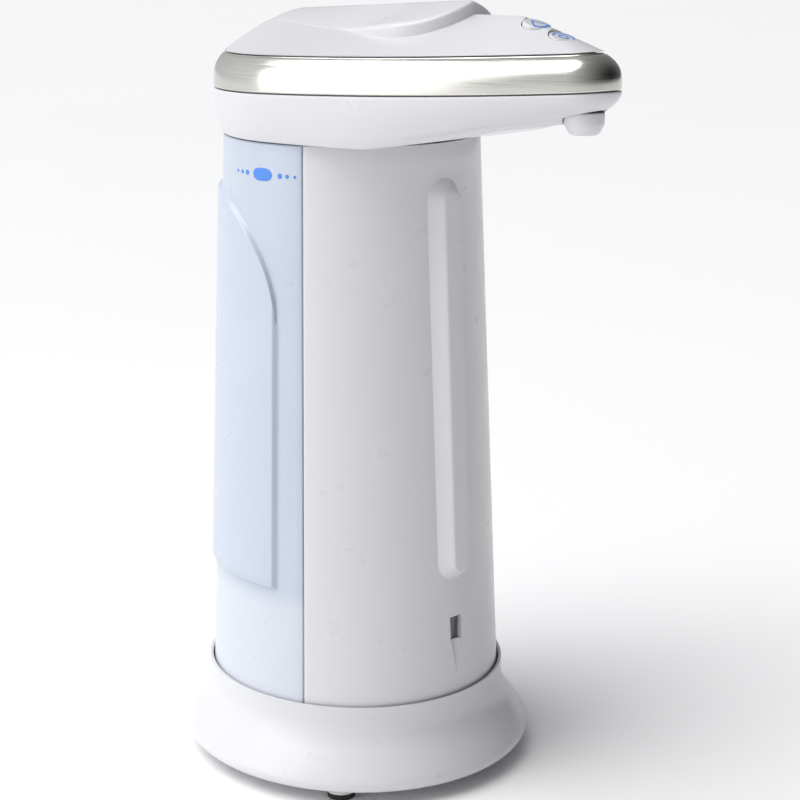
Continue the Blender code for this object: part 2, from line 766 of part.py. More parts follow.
def panel_top_z(azimuth):
    """The raised panel's upper edge: upright sides that bend over into a flat arch at the back."""
    share = clamp((azimuth - PANEL_AZIMUTH) / PANEL_BEND)
    return blend(PANEL_SHOULDER_Z, PANEL_APEX_Z, math.sqrt(1 - (1 - share) ** 2))


def panel_azimuths():
    """Where the panel's sections stand, close together where its upper edge is steep."""
    bend = [PANEL_AZIMUTH + PANEL_BEND * (1 - math.cos(math.pi / 2 * i / 10)) for i in range(11)]
    back = [blend(bend[-1], 2 * math.pi - bend[-1], i / 12) for i in range(1, 12)]
    return bend + back + [2 * math.pi - azimuth for azimuth in reversed(bend)]


def make_tank(parts, cutters):
    """Tank with a skirt below its floor, an open top and an arched panel raised on its back."""
    low = DECK_TOP_Z + GAP
    high = COLUMN_TOP_Z - GAP
    tank = tank_solid("reservoir", low, high, 0.0, parts)
    rings = []
    for a in panel_azimuths():
        top = panel_top_z(min(a, 2 * math.pi - a))
        rings.append([column_point(a, PANEL_LOW_Z, -0.9 * MM),
                      column_point(a, PANEL_LOW_Z + MM, PANEL_RISE),
                      column_point(a, top - MM, PANEL_RISE), column_point(a, top, -0.9 * MM)])
    join(tank, loft("arched_panel", rings, cutters))
    cut(tank, tank_solid("tank_hollow", TANK_FLOOR_Z + TANK_WALL, high + MM, TANK_WALL, cutters))
    cut(tank, tank_solid("tank_skirt_hollow", low - MM, TANK_FLOOR_Z, TANK_WALL, cutters))
    port_z = pump_port_z()
    cut(tank, rod("tank_port", at(0, 8 * MM, port_z), TUBE_RADIUS + GAP, 14 * MM, cutters, (0, -1, 0),
                  sides=20))
    part(tank, TANK_BLUE)


def rib_ring(half, rise):
    """A long, round-ended ring on the cover's front line."""
    ring = []
    steps = 8
    for end, sign in ((RIB_HIGH_Z - RIB_FOOT_HALF, 1), (RIB_LOW_Z + RIB_FOOT_HALF, -1)):
        for i in range(steps + 1):
            a = math.pi * i / steps
            x = sign * half * math.cos(a)
            z = end + sign * half * math.sin(a)
            surface = column_size(z)[1]
            ring.append(at(x, surface + rise, z))
    return ring


def make_column_cover(parts, cutters):
    """Front cover with its raised rib and the opening and scoop for the sensor."""
    low = DECK_TOP_Z + GAP
    high = COLUMN_TOP_Z - GAP
    cover = loft("column_cover", [cover_ring(low), cover_ring(high)], parts)
    slope = (RIB_FOOT_HALF - RIB_CROWN_HALF) / RIB_HEIGHT
    root = -1.2 * MM
    rib = loft("front_rib",
               [rib_ring(RIB_FOOT_HALF - slope * root, root), rib_ring(RIB_CROWN_HALF, RIB_HEIGHT)],
               cutters)
    join(cover, rib)
    front = column_size(WINDOW_LOW_Z)[1]
    opening = box("window_opening", (-WINDOW_HALF, front - 6 * MM, WINDOW_LOW_Z),
                  (WINDOW_HALF, front + 2 * MM, WINDOW_HIGH_Z), cutters)
    scoop_rings = []
    for z, half, depth in ((WINDOW_LOW_Z + 0.5 * MM, WINDOW_HALF, SCOOP_DEPTH),
                           (SCOOP_LOW_Z, 0.2 * MM, 0.05 * MM)):
        surface = column_size(z)[1]
        scoop_rings.append([at(-half, surface + 2 * MM, z), at(half, surface + 2 * MM, z),
                            at(half, surface - depth * 0.3, z), at(0, surface - depth, z),
                            at(-half, surface - depth * 0.3, z)])
    scoop = loft("sensor_scoop", scoop_rings, cutters)
    part(cut(cover, opening, scoop), WHITE)


def make_sensor(parts, cutters):
    """Dark window, the small board behind it, and the emitter and receiver on that board."""
    front = column_size(WINDOW_LOW_Z)[1]
    inside = column_size(WINDOW_HIGH_Z)[1] - COVER_WALL
    half = WINDOW_HALF - 0.15 * MM
    window = box("sensor_window", (-half, inside - 2.4 * MM, WINDOW_LOW_Z + 0.15 * MM),
                 (half, front - SCOOP_DEPTH, WINDOW_HIGH_Z - 0.15 * MM), parts)
    flange = box("window_flange", (-4 * MM, inside - 2.5 * MM, WINDOW_LOW_Z - 2 * MM),
                 (4 * MM, inside - 1.0 * MM, WINDOW_HIGH_Z + 2 * MM), cutters)
    part(join(window, flange), SMOKED)
    board_forward = inside - 7.4 * MM
    part(box("sensor_board", (-7 * MM, board_forward - 1.2 * MM, 30 * MM),
             (7 * MM, board_forward, 46 * MM), parts),
         BOARD_GREEN)
    for name, z in (("ir_emitter", 38.0 * MM), ("ir_receiver", 41.6 * MM)):
        led = rod(name, at(0, board_forward + GAP, z), 1.5 * MM, 3.2 * MM, parts, (0, -1, 0), sides=18)
        part(led, SMOKED)


# ---------------------------------------------------------------- pump, gears and motor

def gear_outline(teeth, module, thin, addendum=1.0, dedendum=1.2, phase=0.0):
    """Involute gear teeth as (x, y) points, thinned for backlash."""
    pressure = math.radians(20)
    pitch = teeth * module / 2
    base = pitch * math.cos(pressure)
    outer = pitch + addendum * module
    root = pitch - dedendum * module
    involute = math.tan(pressure) - pressure
    half_tooth = math.pi / (2 * teeth) - thin / pitch
    points = []
    for tooth in range(teeth):
        centre = phase + 2 * math.pi * tooth / teeth
        flank = []
        low = max(base, root)
        for i in range(3):
            r = blend(low, outer, i / 2)
            roll = math.acos(min(1.0, base / r))
            flank.append((r, half_tooth + involute - (math.tan(roll) - roll)))
        if root < base:
            flank.insert(0, (root, flank[0][1]))
        rising = [(r, centre - a) for r, a in flank]
        falling = [(r, centre + a) for r, a in reversed(flank)]
        points += [(r * math.cos(a), r * math.sin(a)) for r, a in rising + falling]
    return points


def gear(name, outline, x, low_z, thick, bore, group, cutters):
    """A gear on an upright axis, its solid on its own origin so that it turns about its joint."""
    rings = [[Vector((px, py, z)) for px, py in outline] for z in (0.0, thick)]
    made = loft(name, rings, group)
    place = at(x, DRIVE_FORWARD, low_z)
    made.location = place
    hole = rod(name + "_bore", place - Vector((0, 0, MM)), bore, thick + 2 * MM, cutters, sides=24)
    return cut(made, hole)


def pump_pitch():
    return PUMP_TEETH * PUMP_MODULE / 2


def pump_tip_radius():
    return pump_pitch() + PUMP_MODULE


def drive_x():
    return -pump_pitch()


def motor_x():
    return drive_x() + (PINION_TEETH + WHEEL_TEETH) * DRIVE_MODULE / 2


def pump_port_z():
    return PUMP_Z + PUMP_FLOOR + PUMP_CAVITY / 2


def outlet_forward():
    return DRIVE_FORWARD + 3.4 * MM


def make_pump(parts, cutters):
    """Housing with a cavity for two meshed gears, its cover, the shaft's seal and the idler's pin."""
    low = PUMP_Z
    rim = PUMP_Z + PUMP_FLOOR + PUMP_CAVITY
    rear = DRIVE_FORWARD - PUMP_HALF_Y
    front = DRIVE_FORWARD + PUMP_HALF_Y
    housing = box("pump_housing", (-PUMP_HALF_X, rear, low), (PUMP_HALF_X, front, rim), parts)
    bearing = SHAFT_RADIUS + BEARING_GAP
    for n, x in enumerate((drive_x(), -drive_x())):
        cut(housing, rod("pump_cavity_%d" % n, at(x, DRIVE_FORWARD, low + PUMP_FLOOR),
                         pump_tip_radius() + GEAR_GAP,
                         PUMP_CAVITY + MM, cutters, sides=28))
        cut(housing,
            rod("pump_bearing_%d" % n, at(x, DRIVE_FORWARD, low + 0.6 * MM), bearing, 3 * MM, cutters,
                         sides=24))
    inlet = rod("pump_inlet", at(0, rear - MM, pump_port_z()), PORT_RADIUS, 5 * MM, cutters,
                (0, -1, 0), sides=16)
    outlet = rod("pump_outlet", at(0, outlet_forward(), low - MM), PORT_RADIUS, PUMP_FLOOR + 4 * MM,
                 cutters,
                 sides=16)
    part(cut(housing, inlet, outlet), ACETAL)
    lid_low = rim + GAP
    cover = box("pump_cover", (-PUMP_HALF_X, rear, lid_low), (PUMP_HALF_X, front, lid_low + 1.8 * MM),
                parts)
    shaft_hole = rod("cover_bearing", at(drive_x(), DRIVE_FORWARD, lid_low - MM), bearing, 5 * MM,
                     cutters, sides=24)
    seal_seat = rod("seal_seat", at(drive_x(), DRIVE_FORWARD, lid_low + 0.7 * MM), 3.0 * MM, 3 * MM,
                    cutters, sides=24)
    pin_hole = rod("pin_hole", at(-drive_x(), DRIVE_FORWARD, lid_low - MM), bearing, 5 * MM, cutters,
                   sides=24)
    part(cut(cover, shaft_hole, seal_seat, pin_hole), ACETAL)
    seal_z = lid_low + 0.8 * MM
    ring = [(2.85 * MM, seal_z + 0.9 * MM), (2.85 * MM, seal_z), (bearing, seal_z),
            (bearing, seal_z + 0.9 * MM)]
    part(turned("shaft_seal", ring, at(drive_x(), DRIVE_FORWARD, 0), parts, steps=24), BLACK_RUBBER)
    pin = rod("idler_pin", at(-drive_x(), DRIVE_FORWARD, low + 0.7 * MM), SHAFT_RADIUS,
              lid_low + 1.7 * MM - low
              - 0.7 * MM, parts, sides=24)
    part(pin, STEEL)


def make_drive_train(parts, cutters):
    """Pump gears, drive shaft, reduction wheel, pinion and the motor's shaft."""
    gear_z = PUMP_Z + PUMP_FLOOR + 0.2 * MM
    thick = PUMP_CAVITY - 0.3 * MM
    bore = SHAFT_RADIUS + BEARING_GAP
    half_tooth = math.pi / PUMP_TEETH
    drive = gear_outline(PUMP_TEETH, PUMP_MODULE, 0.10 * MM)
    idler = gear_outline(PUMP_TEETH, PUMP_MODULE, 0.10 * MM, phase=math.pi + half_tooth)
    part(gear("pump_drive_gear", drive, drive_x(), gear_z, thick, bore, parts, cutters), ACETAL)
    part(gear("pump_idler_gear", idler, -drive_x(), gear_z, thick, bore, parts, cutters), ACETAL)
    shaft_low = PUMP_Z + 0.7 * MM
    shaft = rod("drive_shaft", at(drive_x(), DRIVE_FORWARD, shaft_low), SHAFT_RADIUS,
                BRACKET_Z + BRACKET_THICK - shaft_low, parts, sides=24)
    part(shaft, STEEL)
    wheel = gear_outline(WHEEL_TEETH, DRIVE_MODULE, 0.07 * MM, 0.9)
    pinion = gear_outline(PINION_TEETH, DRIVE_MODULE, 0.07 * MM, 0.9,
                          phase=math.pi + math.pi / PINION_TEETH)
    part(gear("reduction_wheel", wheel, drive_x(), REDUCTION_Z, REDUCTION_THICK, bore, parts, cutters),
         ACETAL)
    motor_bore = MOTOR_SHAFT_RADIUS + BEARING_GAP
    part(gear("motor_pinion", pinion, motor_x(), REDUCTION_Z - 0.4 * MM, REDUCTION_THICK + 0.8 * MM,
              motor_bore,
              parts, cutters), BRASS)
    stub = rod("motor_shaft", at(motor_x(), DRIVE_FORWARD, REDUCTION_Z - 0.8 * MM), MOTOR_SHAFT_RADIUS,
               BRACKET_Z + BRACKET_THICK + 4 * MM - REDUCTION_Z, parts, sides=20)
    part(stub, STEEL)


def motor_low_z():
    return BRACKET_Z + BRACKET_THICK + GAP


def make_motor(parts, cutters):
    """Motor can and end cap, and the bracket that holds it over the pump."""
    low = motor_low_z()
    can = rod("motor_can", at(motor_x(), DRIVE_FORWARD, low), MOTOR_RADIUS, MOTOR_LENGTH, parts,
              sides=36)
    nose = rod("motor_nose", at(motor_x(), DRIVE_FORWARD, low - MM), MOTOR_SHAFT_RADIUS + BEARING_GAP,
               5 * MM, cutters,
               sides=20)
    part(cut(can, nose), STEEL)
    cap_low = low + MOTOR_LENGTH + GAP
    cap = rod("motor_end_cap", at(motor_x(), DRIVE_FORWARD, cap_low), MOTOR_RADIUS - 0.4 * MM,
              2.4 * MM, parts,
              sides=36)
    part(cap, BLACK_PLASTIC)
    side = PUMP_HALF_X + GAP
    outer = side + BRACKET_THICK
    bracket = box("motor_bracket", (-outer, DRIVE_FORWARD - 5.5 * MM, PUMP_Z + MM),
                  (outer, DRIVE_FORWARD + 5.0 * MM, BRACKET_Z + BRACKET_THICK), parts)
    inside = box("bracket_inside", (-side, DRIVE_FORWARD - 8 * MM, PUMP_Z - MM),
                 (side, DRIVE_FORWARD + 8 * MM, BRACKET_Z), cutters)
    hole = rod("bracket_shaft_hole", at(drive_x(), DRIVE_FORWARD, BRACKET_Z - MM),
               SHAFT_RADIUS + BEARING_GAP,
               4 * MM, cutters, sides=24)
    motor_hole = rod("bracket_motor_hole", at(motor_x(), DRIVE_FORWARD, BRACKET_Z - MM), 2.0 * MM,
                     4 * MM, cutters,
                     sides=20)
    part(cut(bracket, inside, hole, motor_hole), STEEL)


def make_tubes(parts, cutters):
    """Inlet sleeve between tank and pump, and the outlet tube up to the spout."""
    rear = DRIVE_FORWARD - PUMP_HALF_Y
    z = pump_port_z()
    start = 12.5 * MM
    sleeve = rod("inlet_tube", at(0, start, z), TUBE_RADIUS, rear - GAP - start, parts, (0, -1, 0),
                 sides=20)
    bore = rod("inlet_bore", at(0, start - MM, z), PORT_RADIUS, 9 * MM, cutters, (0, -1, 0), sides=16)
    part(cut(sleeve, bore), CLEAR_SILICONE)
    top = COLUMN_TOP_Z / MM
    route = [(0, 26.9, 56.1), (0, 26.9, 54.2), (-1.6, 26.9, 51.6), (-6.5, 26.0, 49.6),
             (-13.0, 23.4, 50.6), (-16.6, 21.4, 55.5), (-17.2, 20.8, 63), (-16.4, 20.4, 85),
             (-15.0, 20.0, top - 48.3), (-13.4, 19.4, top - 23.3), (-12.2, 19.8, top - 6.3),
             (-11.0, 22.5, top + 5.2), (-8.0, 31, top + 11.3), (-4.0, 46, top + 12.3),
             (-1.0, 60, top + 13.1), (0, 69.6, top + 13.7), (0, 73.2, top + 13.1),
             (0, 74.2, top + 11.9), (0, NOZZLE_FORWARD / MM, top + 10.5)]
    points = smooth_path([at(x * MM, f * MM, h * MM) for x, f, h in route], 2)
    part(tube("outlet_tube", points, TUBE_RADIUS, parts), CLEAR_SILICONE)


def make_wires(parts):
    """One harness from the battery bay, past the motor, to the board in the head."""
    top = COLUMN_TOP_Z / MM
    route = [(15, 22, 18.2), (15.4, 22.2, 26), (17.2, 22.4, 36), (18.2, 21.6, 52), (18.0, 20.6, 75),
             (17.0, 19.8, top - 53.3), (15.4, 19.2, top - 23.3), (14.4, 19.6, top - 6.3),
             (13.4, 23, top + 5.7), (11.0, 32, top + 12.7), (8.0, 44, top + 16.7),
             (5.8, 53, top + 19.3)]
    points = smooth_path([at(x * MM, f * MM, h * MM) for x, f, h in route], 2)
    part(tube("wire_harness", points, 1.2 * MM, parts), BLACK_PLASTIC)


# ---------------------------------------------------------------- head

def make_lower_shell(parts, cutters):
    """Bowl under the band: a floor over the column, sides that flare, and a lip behind the band."""
    wall = HEAD_WALL
    shares = (0.0, 0.25, 0.55, 1.0)
    rings = []

    def side(share, extra, lift):
        def setback(forward):
            return floor_setback(forward) * (1 - share) ** 2 + extra

        def height(forward):
            return blend(underside_z(forward) + lift, band_low_z(forward) - GAP, share)
        return head_ring(setback, height)

    def floor_middle(lift):
        return [at(0, clamp(p[1], -10 * MM, NOSE_FORWARD),
                   underside_z(clamp(p[1], -10 * MM, NOSE_FORWARD)) + lift)
                for p in HEAD_OUTLINE]

    def floor_half(lift):
        middle = floor_middle(0)
        ring = []
        for point, centre in zip(side(0.0, 0.0, 0.0), middle):
            half = (point + centre) / 2
            half.z = underside_z(AXIS_Y - half.y) + lift
            ring.append(half)
        return ring

    lip = BAND_THICK + 1.0 * MM
    rings.append(floor_middle(0))
    rings.append(floor_half(0))
    rings += [side(share, 0.0, 0.0) for share in shares]
    rings.append(head_ring(lambda f: lip, lambda f: band_low_z(f) - GAP))
    rings.append(head_ring(lambda f: lip, lambda f: band_middle_z(f) - GAP))
    rings.append(head_ring(lambda f: lip + wall * 0.7, lambda f: band_middle_z(f) - GAP))
    rings.append(head_ring(lambda f: lip + wall * 0.7, lambda f: band_low_z(f) - 1.5 * MM))
    rings += [side(share, wall, wall) for share in (0.55, 0.25, 0.0)]
    rings.append(floor_half(wall))
    rings.append(floor_middle(wall))
    shell = loft("head_lower_shell", rings, parts, capped=False)
    tank_hole = tank_solid("tank_mouth_hole", COLUMN_TOP_Z - 3 * MM, COLUMN_TOP_Z + 5 * MM, 3.9 * MM,
                           cutters)
    tubes = box("tube_slot", (-18 * MM, 16.6 * MM, COLUMN_TOP_Z - 3 * MM),
                (18 * MM, 26 * MM, COLUMN_TOP_Z + 5 * MM),
                cutters)
    nozzle = rod("nozzle_hole", at(0, NOZZLE_FORWARD, NOZZLE_TIP_Z), NOZZLE_TOP_RADIUS + GAP, 12 * MM,
                 cutters)
    part(cut(shell, tank_hole, tubes, nozzle), WHITE)


def make_band(parts):
    """Bright band between the two white shells, curved like a barrel's stave."""
    shares = (0.0, 0.4, 0.7, 0.9, 1.0)

    def ring(share, extra):
        return head_ring(lambda f: band_setback(f) * share ** 3.5 + extra,
                         lambda f: blend(band_low_z(f), band_high_z(f), share))
    rings = [ring(share, 0.0) for share in shares] + [ring(share,
                                                           BAND_THICK) for share in reversed(shares)]
    rings.append(rings[0])
    part(loft("trim_band", rings, parts, capped=False), SATIN)


def dome_solid(name, group, depth):
    """Everything more than this depth under the dome's outer face."""
    rings = dome_rings(depth, depth)
    rings.insert(0, head_ring(lambda f: band_setback(f) + depth, lambda f: HEAD_INSIDE_Z))
    rings.insert(0, head_ring(lambda f: band_setback(f) + 3 * MM, lambda f: HEAD_INSIDE_Z))
    flat = [at(0, clamp(AXIS_Y - p.y, RIDGE_REAR, RIDGE_FRONT), HEAD_INSIDE_Z) for p in rings[0]]
    return loft(name, [flat] + rings, group, capped=False)


def make_top_shell(parts, cutters):
    """Domed top with the lid's pocket, the filler mouth and the holes for the keys."""
    wall = HEAD_WALL
    skirt = BAND_THICK + 0.6 * MM
    rings = list(reversed(dome_rings(0.0, 0.0)))

    def skirt_ring(extra, height):
        return head_ring(lambda f: band_setback(f) + extra, height)
    rings.append(skirt_ring(skirt, lambda f: band_high_z(f) + GAP))
    rings.append(skirt_ring(skirt, lambda f: band_high_z(f) - SKIRT_DEPTH))
    rings.append(skirt_ring(skirt + SKIRT_WALL, lambda f: band_high_z(f) - SKIRT_DEPTH))
    rings += dome_rings(skirt + SKIRT_WALL, wall, (0.97, 0.85, 0.68, 0.5, 0.3, 0.12, 0.0))
    shell = loft("head_top_shell", rings, parts, capped=False)
    for n, forward in enumerate(KEY_FORWARDS):
        aim = key_aim()
        start = at(0, forward, dome_z(0, forward)) - aim * 8 * MM
        cut(shell, rod("key_hole_%d" % n, start, KEY_RADIUS + KEY_GAP, 12 * MM, cutters, aim, sides=28))
        well = start - aim * 4 * MM
        cut(shell, rod("key_well_%d" % n, well, KEY_RADIUS + KEY_FLANGE + GAP,
                       12 * MM - HEAD_WALL - 0.4 * MM, cutters,
                       aim, sides=28))
    deck_low = LID_DECK_Z - LID_DECK_THICK
    block = prism("deck_block", tongue_outline(GAP + 1.8 * MM, LID_PIVOT_FORWARD - 6.5 * MM), deck_low,
                  HEAD_INSIDE_Z + 30 * MM, cutters)
    boolean(block, dome_solid("dome_volume", cutters, 0.35 * MM), "INTERSECT")
    join(shell, block)
    pocket = prism("lid_pocket", tongue_outline(GAP, LID_PIVOT_FORWARD - MM), LID_DECK_Z,
                   HEAD_INSIDE_Z + 30 * MM,
                   cutters)
    groove = rod("hinge_groove", at(-LID_REAR_HALF - GAP, LID_PIVOT_FORWARD, LID_PIVOT_Z),
                 LID_BARREL_RADIUS + 2 * GAP,
                 2 * (LID_REAR_HALF + GAP), cutters, (1, 0, 0), sides=32)
    mouth = prism("mouth_hole", mouth_outline(1.6 * MM + GAP), HEAD_INSIDE_Z, HEAD_INSIDE_Z + 20 * MM,
                  cutters)
    pin_hole = rod("hinge_pin_hole", at(-12.6 * MM, LID_PIVOT_FORWARD, LID_PIVOT_Z),
                   LID_PIN_RADIUS + BEARING_GAP,
                   25.2 * MM, cutters, (1, 0, 0), sides=20)
    cut(shell, pocket, groove, mouth, pin_hole)
    part(shell, WHITE)


def mouth_outline(grow=0.0):
    """A rounded rectangle for the filler mouth."""
    corner = 5.0 * MM
    half_x = MOUTH_HALF_X - corner
    centre = (MOUTH_REAR + MOUTH_FRONT) / 2
    half_f = (MOUTH_FRONT - MOUTH_REAR) / 2 - corner
    points = []
    steps = 6
    for quarter, (sx, sf) in enumerate(((1, 1), (-1, 1), (-1, -1), (1, -1))):
        for i in range(steps + 1):
            a = math.pi / 2 * (quarter + i / steps)
            points.append((sx * half_x + (corner + grow) * math.cos(a),
                           centre + sf * half_f + (corner + grow) * math.sin(a)))
    return points


def key_aim():
    """The outward normal of the sloping front."""
    rise = dome_z(0, KEY_FORWARDS[0]) - dome_z(0, KEY_FORWARDS[1])
    slope = math.atan2(rise, KEY_FORWARDS[1] - KEY_FORWARDS[0])
    return Vector((0, -math.sin(slope), math.cos(slope)))


def make_keys(parts, cutters):
    """Two flush keys, each over a small switch on the board in the nose."""
    aim = key_aim()
    for name, forward in zip(("power_key", "tone_key"), KEY_FORWARDS):
        top = at(0, forward, dome_z(0, forward)) - aim * 0.1 * MM
        key = rod(name, -aim * KEY_DEPTH, KEY_RADIUS, KEY_DEPTH, parts, aim, sides=28)
        flange = rod(name + "_flange", -aim * KEY_DEPTH, KEY_RADIUS + KEY_FLANGE, 0.8 * MM, cutters,
                     aim, sides=28)
        key.location = top
        flange.location = top
        part(join(key, flange), WHITE)
    middle = sum(KEY_FORWARDS) / 2
    reach = KEY_DEPTH + KEY_TRAVEL + 0.2 * MM
    switch = 1.8 * MM
    for n, forward in enumerate(KEY_FORWARDS):
        base = at(0, forward, dome_z(0, forward)) - aim * (reach + switch + 0.1 * MM)
        body = rod("key_switch_%d" % (n + 1), base, 2.4 * MM, switch, parts, aim, sides=12)
        part(body, BLACK_PLASTIC)
    centre = at(0, middle, dome_z(0, middle)) - aim * (reach + switch + 0.4 * MM + 1.2 * MM)
    made = bmesh.new()
    bmesh.ops.create_cube(made, size=1.0)
    bmesh.ops.scale(made, vec=(11 * MM, 14.5 * MM, 1.2 * MM), verts=made.verts)
    turn = Vector((0, 0, 1)).rotation_difference(aim).to_matrix()
    bmesh.ops.rotate(made, cent=(0, 0, 0), matrix=turn, verts=made.verts)
    bmesh.ops.translate(made, vec=centre + aim * 0.6 * MM, verts=made.verts)
    part(from_bmesh("control_board", made, parts), BOARD_GREEN)


def make_nozzle(parts):
    """Spout tip that drops through the lower shell and hangs from its flange."""
    profile = [(NOZZLE_BORE, NOZZLE_TOP_Z), (NOZZLE_TOP_RADIUS, NOZZLE_TOP_Z),
               (NOZZLE_TOP_RADIUS, NOZZLE_TIP_Z + 2.4 * MM),
               (NOZZLE_TIP_RADIUS + 0.5 * MM, NOZZLE_TIP_Z + 0.6 * MM),
               (NOZZLE_TIP_RADIUS, NOZZLE_TIP_Z),
               (NOZZLE_BORE, NOZZLE_TIP_Z)]
    part(turned("nozzle", profile, at(0, NOZZLE_FORWARD, 0), parts, steps=28), WHITE)


def make_funnel(parts, cutters):
    """Throat that leads from the filler mouth down into the tank, and the seal round its foot."""
    steps = 32
    middle = -3.0 * MM

    def polar(outline):
        """Resample an outline of (x, forward) points by angle about the throat's middle."""
        ring = []
        count = len(outline)
        for i in range(steps):
            a = 2 * math.pi * (i + 0.5) / steps
            aim = Vector((math.cos(a), math.sin(a)))
            for j in range(count):
                p = Vector(outline[j]) - Vector((0, middle))
                q = Vector(outline[(j + 1) % count]) - Vector((0, middle))
                edge = q - p
                cross = aim.x * edge.y - aim.y * edge.x
                if abs(cross) < 1e-15:
                    continue
                reach = (p.x * edge.y - p.y * edge.x) / cross
                share = (p.x * aim.y - p.y * aim.x) / cross
                if reach > 0 and -1e-9 <= share < 1 + 1e-9:
                    ring.append((aim.x * reach, middle + aim.y * reach))
                    break
        return ring

    def tank_outline(z, setback):
        return [(p.x, AXIS_Y - p.y) for p in tank_ring(z, setback)]

    def level(outline, z):
        return [at(x, forward, z) for x, forward in polar(outline)]

    wall = 1.4 * MM
    foot_z = COLUMN_TOP_Z - 4.5 * MM
    flange_z = COLUMN_TOP_Z + HEAD_WALL + GAP
    top_z = LID_DECK_Z - 0.4 * MM
    foot = 4.3 * MM
    outer = [level(tank_outline(COLUMN_TOP_Z, foot), foot_z),
             level(tank_outline(COLUMN_TOP_Z, foot), flange_z + 1.5 * MM),
             level(mouth_outline(wall), flange_z + 9 * MM), level(mouth_outline(wall), top_z)]
    inner = [level(mouth_outline(0.0), top_z), level(mouth_outline(0.0), flange_z + 9 * MM),
             level(tank_outline(COLUMN_TOP_Z, foot + wall), flange_z + 1.5 * MM),
             level(tank_outline(COLUMN_TOP_Z, foot + wall), foot_z)]
    rings = outer + inner
    rings.append(outer[0])
    funnel = loft("filler_throat", rings, parts, capped=False)
    ring_out = tank_solid("throat_flange", flange_z, flange_z + 1.2 * MM, 2.8 * MM, cutters)
    ring_in = tank_solid("throat_flange_hole", flange_z - MM, flange_z + 3 * MM, foot + 0.5 * MM,
                         cutters)
    cut(ring_out, ring_in)
    part(join(funnel, ring_out), WHITE)
    seal = tank_solid("tank_seal", foot_z + 0.5 * MM, COLUMN_TOP_Z - 0.6 * MM, TANK_WALL + 0.2 * MM,
                      parts)
    hole = tank_solid("tank_seal_hole", foot_z - MM, COLUMN_TOP_Z + MM, foot - 0.2 * MM, cutters)
    part(cut(seal, hole), CLEAR_SILICONE)


def lid_levels(shrink, drop):
    """Rings from the lid's side up over its top to its ridge."""
    outline = tongue_outline(-shrink)
    rings = []
    for share, dip in ((1.0, 0.9 * MM), (0.97, 0.25 * MM), (0.9, 0.0), (0.7, 0.0), (0.45, 0.0),
                       (0.2, 0.0), (0.0, 0.0)):
        ring = []
        for x, forward in outline:
            middle = clamp(forward, LID_PIVOT_FORWARD, LID_NOSE_FORWARD)
            fx = x * share
            ff = blend(middle, forward, share)
            proud = smooth((ff - 6 * MM) / (20 * MM))
            ring.append(at(fx, ff, lid_z(fx, ff) - drop - dip * proud))
        rings.append(ring)
    return rings


def make_lid(parts, cutters):
    """Hollow lid with its hinge barrel, the liner under it, the mouth's seal and the hinge pin."""
    low = LID_DECK_Z + GAP
    outline = tongue_outline()
    bottom = [at(x, forward, low) for x, forward in outline]
    flat = [at(0, clamp(forward, LID_PIVOT_FORWARD, LID_NOSE_FORWARD), low) for x, forward in outline]
    lid = loft("filler_lid", [flat, bottom] + lid_levels(0.0, 0.0), parts, capped=False)
    inner_outline = tongue_outline(-LID_WALL, LID_PIVOT_FORWARD + 4.6 * MM)
    ceiling = []
    for share in (1.0, 0.7, 0.45, 0.2, 0.0):
        ring = []
        for x, forward in inner_outline:
            middle = clamp(forward, LID_PIVOT_FORWARD + 4.6 * MM, LID_NOSE_FORWARD)
            fx = x * share
            ff = blend(middle, forward, share)
            ring.append(at(fx, ff, lid_z(fx, ff) - LID_WALL))
        ceiling.append(ring)
    under = low - MM
    inner_low = [at(x, forward, under) for x, forward in inner_outline]
    inner_flat = [at(0, clamp(forward, LID_PIVOT_FORWARD + 4.6 * MM, LID_NOSE_FORWARD), under)
                  for x, forward in inner_outline]
    hollow = loft("lid_hollow", [inner_flat, inner_low] + ceiling, cutters, capped=False)
    cut(lid, hollow)
    half = LID_REAR_HALF - 0.2 * MM
    barrel = rod("lid_barrel", at(-half, LID_PIVOT_FORWARD, LID_PIVOT_Z), LID_BARREL_RADIUS, 2 * half,
                 cutters, (1, 0, 0),
                 sides=32)
    boolean(barrel, dome_solid("barrel_trim", cutters, 0.12 * MM), "INTERSECT")
    join(lid, barrel)
    bore = rod("lid_bore", at(-half - MM, LID_PIVOT_FORWARD, LID_PIVOT_Z),
               LID_PIN_RADIUS + BEARING_GAP, 2 * half + 2 * MM,
               cutters, (1, 0, 0), sides=20)
    part(cut(lid, bore), WHITE)
    pin = rod("lid_hinge_pin", at(-12.3 * MM, LID_PIVOT_FORWARD, LID_PIVOT_Z), LID_PIN_RADIUS,
              24.6 * MM, parts, (1, 0, 0),
              sides=20)
    part(pin, STEEL)
    liner = prism("lid_liner", mouth_outline(1.2 * MM), low, low + 1.2 * MM, parts)
    part(liner, WHITE)
    seal = prism("lid_seal", mouth_outline(-0.5 * MM), LID_DECK_Z - 2.6 * MM, low - 0.1 * MM, parts)
    part(cut(seal, prism("lid_seal_hole", mouth_outline(-2.1 * MM), LID_DECK_Z - 4 * MM,
                         LID_DECK_Z + 2 * MM, cutters)),
         CLEAR_SILICONE)


def main():
    clear_scene()
    parts = new_collection("soap_dispenser")
    cutters = new_collection("cutters")
    make_base_shell(parts, cutters)
    make_base_plate(parts, cutters)
    make_base_screws(parts)
    make_feet(parts)
    make_battery_door(parts, cutters)
    make_cells(parts)
    make_contacts(parts, cutters)
    make_tank_seat(parts, cutters)
    make_tank(parts, cutters)
    make_column_cover(parts, cutters)
    make_sensor(parts, cutters)
    make_pump(parts, cutters)
    make_drive_train(parts, cutters)
    make_motor(parts, cutters)
    make_tubes(parts, cutters)
    make_wires(parts)
    make_lower_shell(parts, cutters)
    make_band(parts)
    make_top_shell(parts, cutters)
    make_keys(parts, cutters)
    make_nozzle(parts)
    make_funnel(parts, cutters)
    make_lid(parts, cutters)


main()
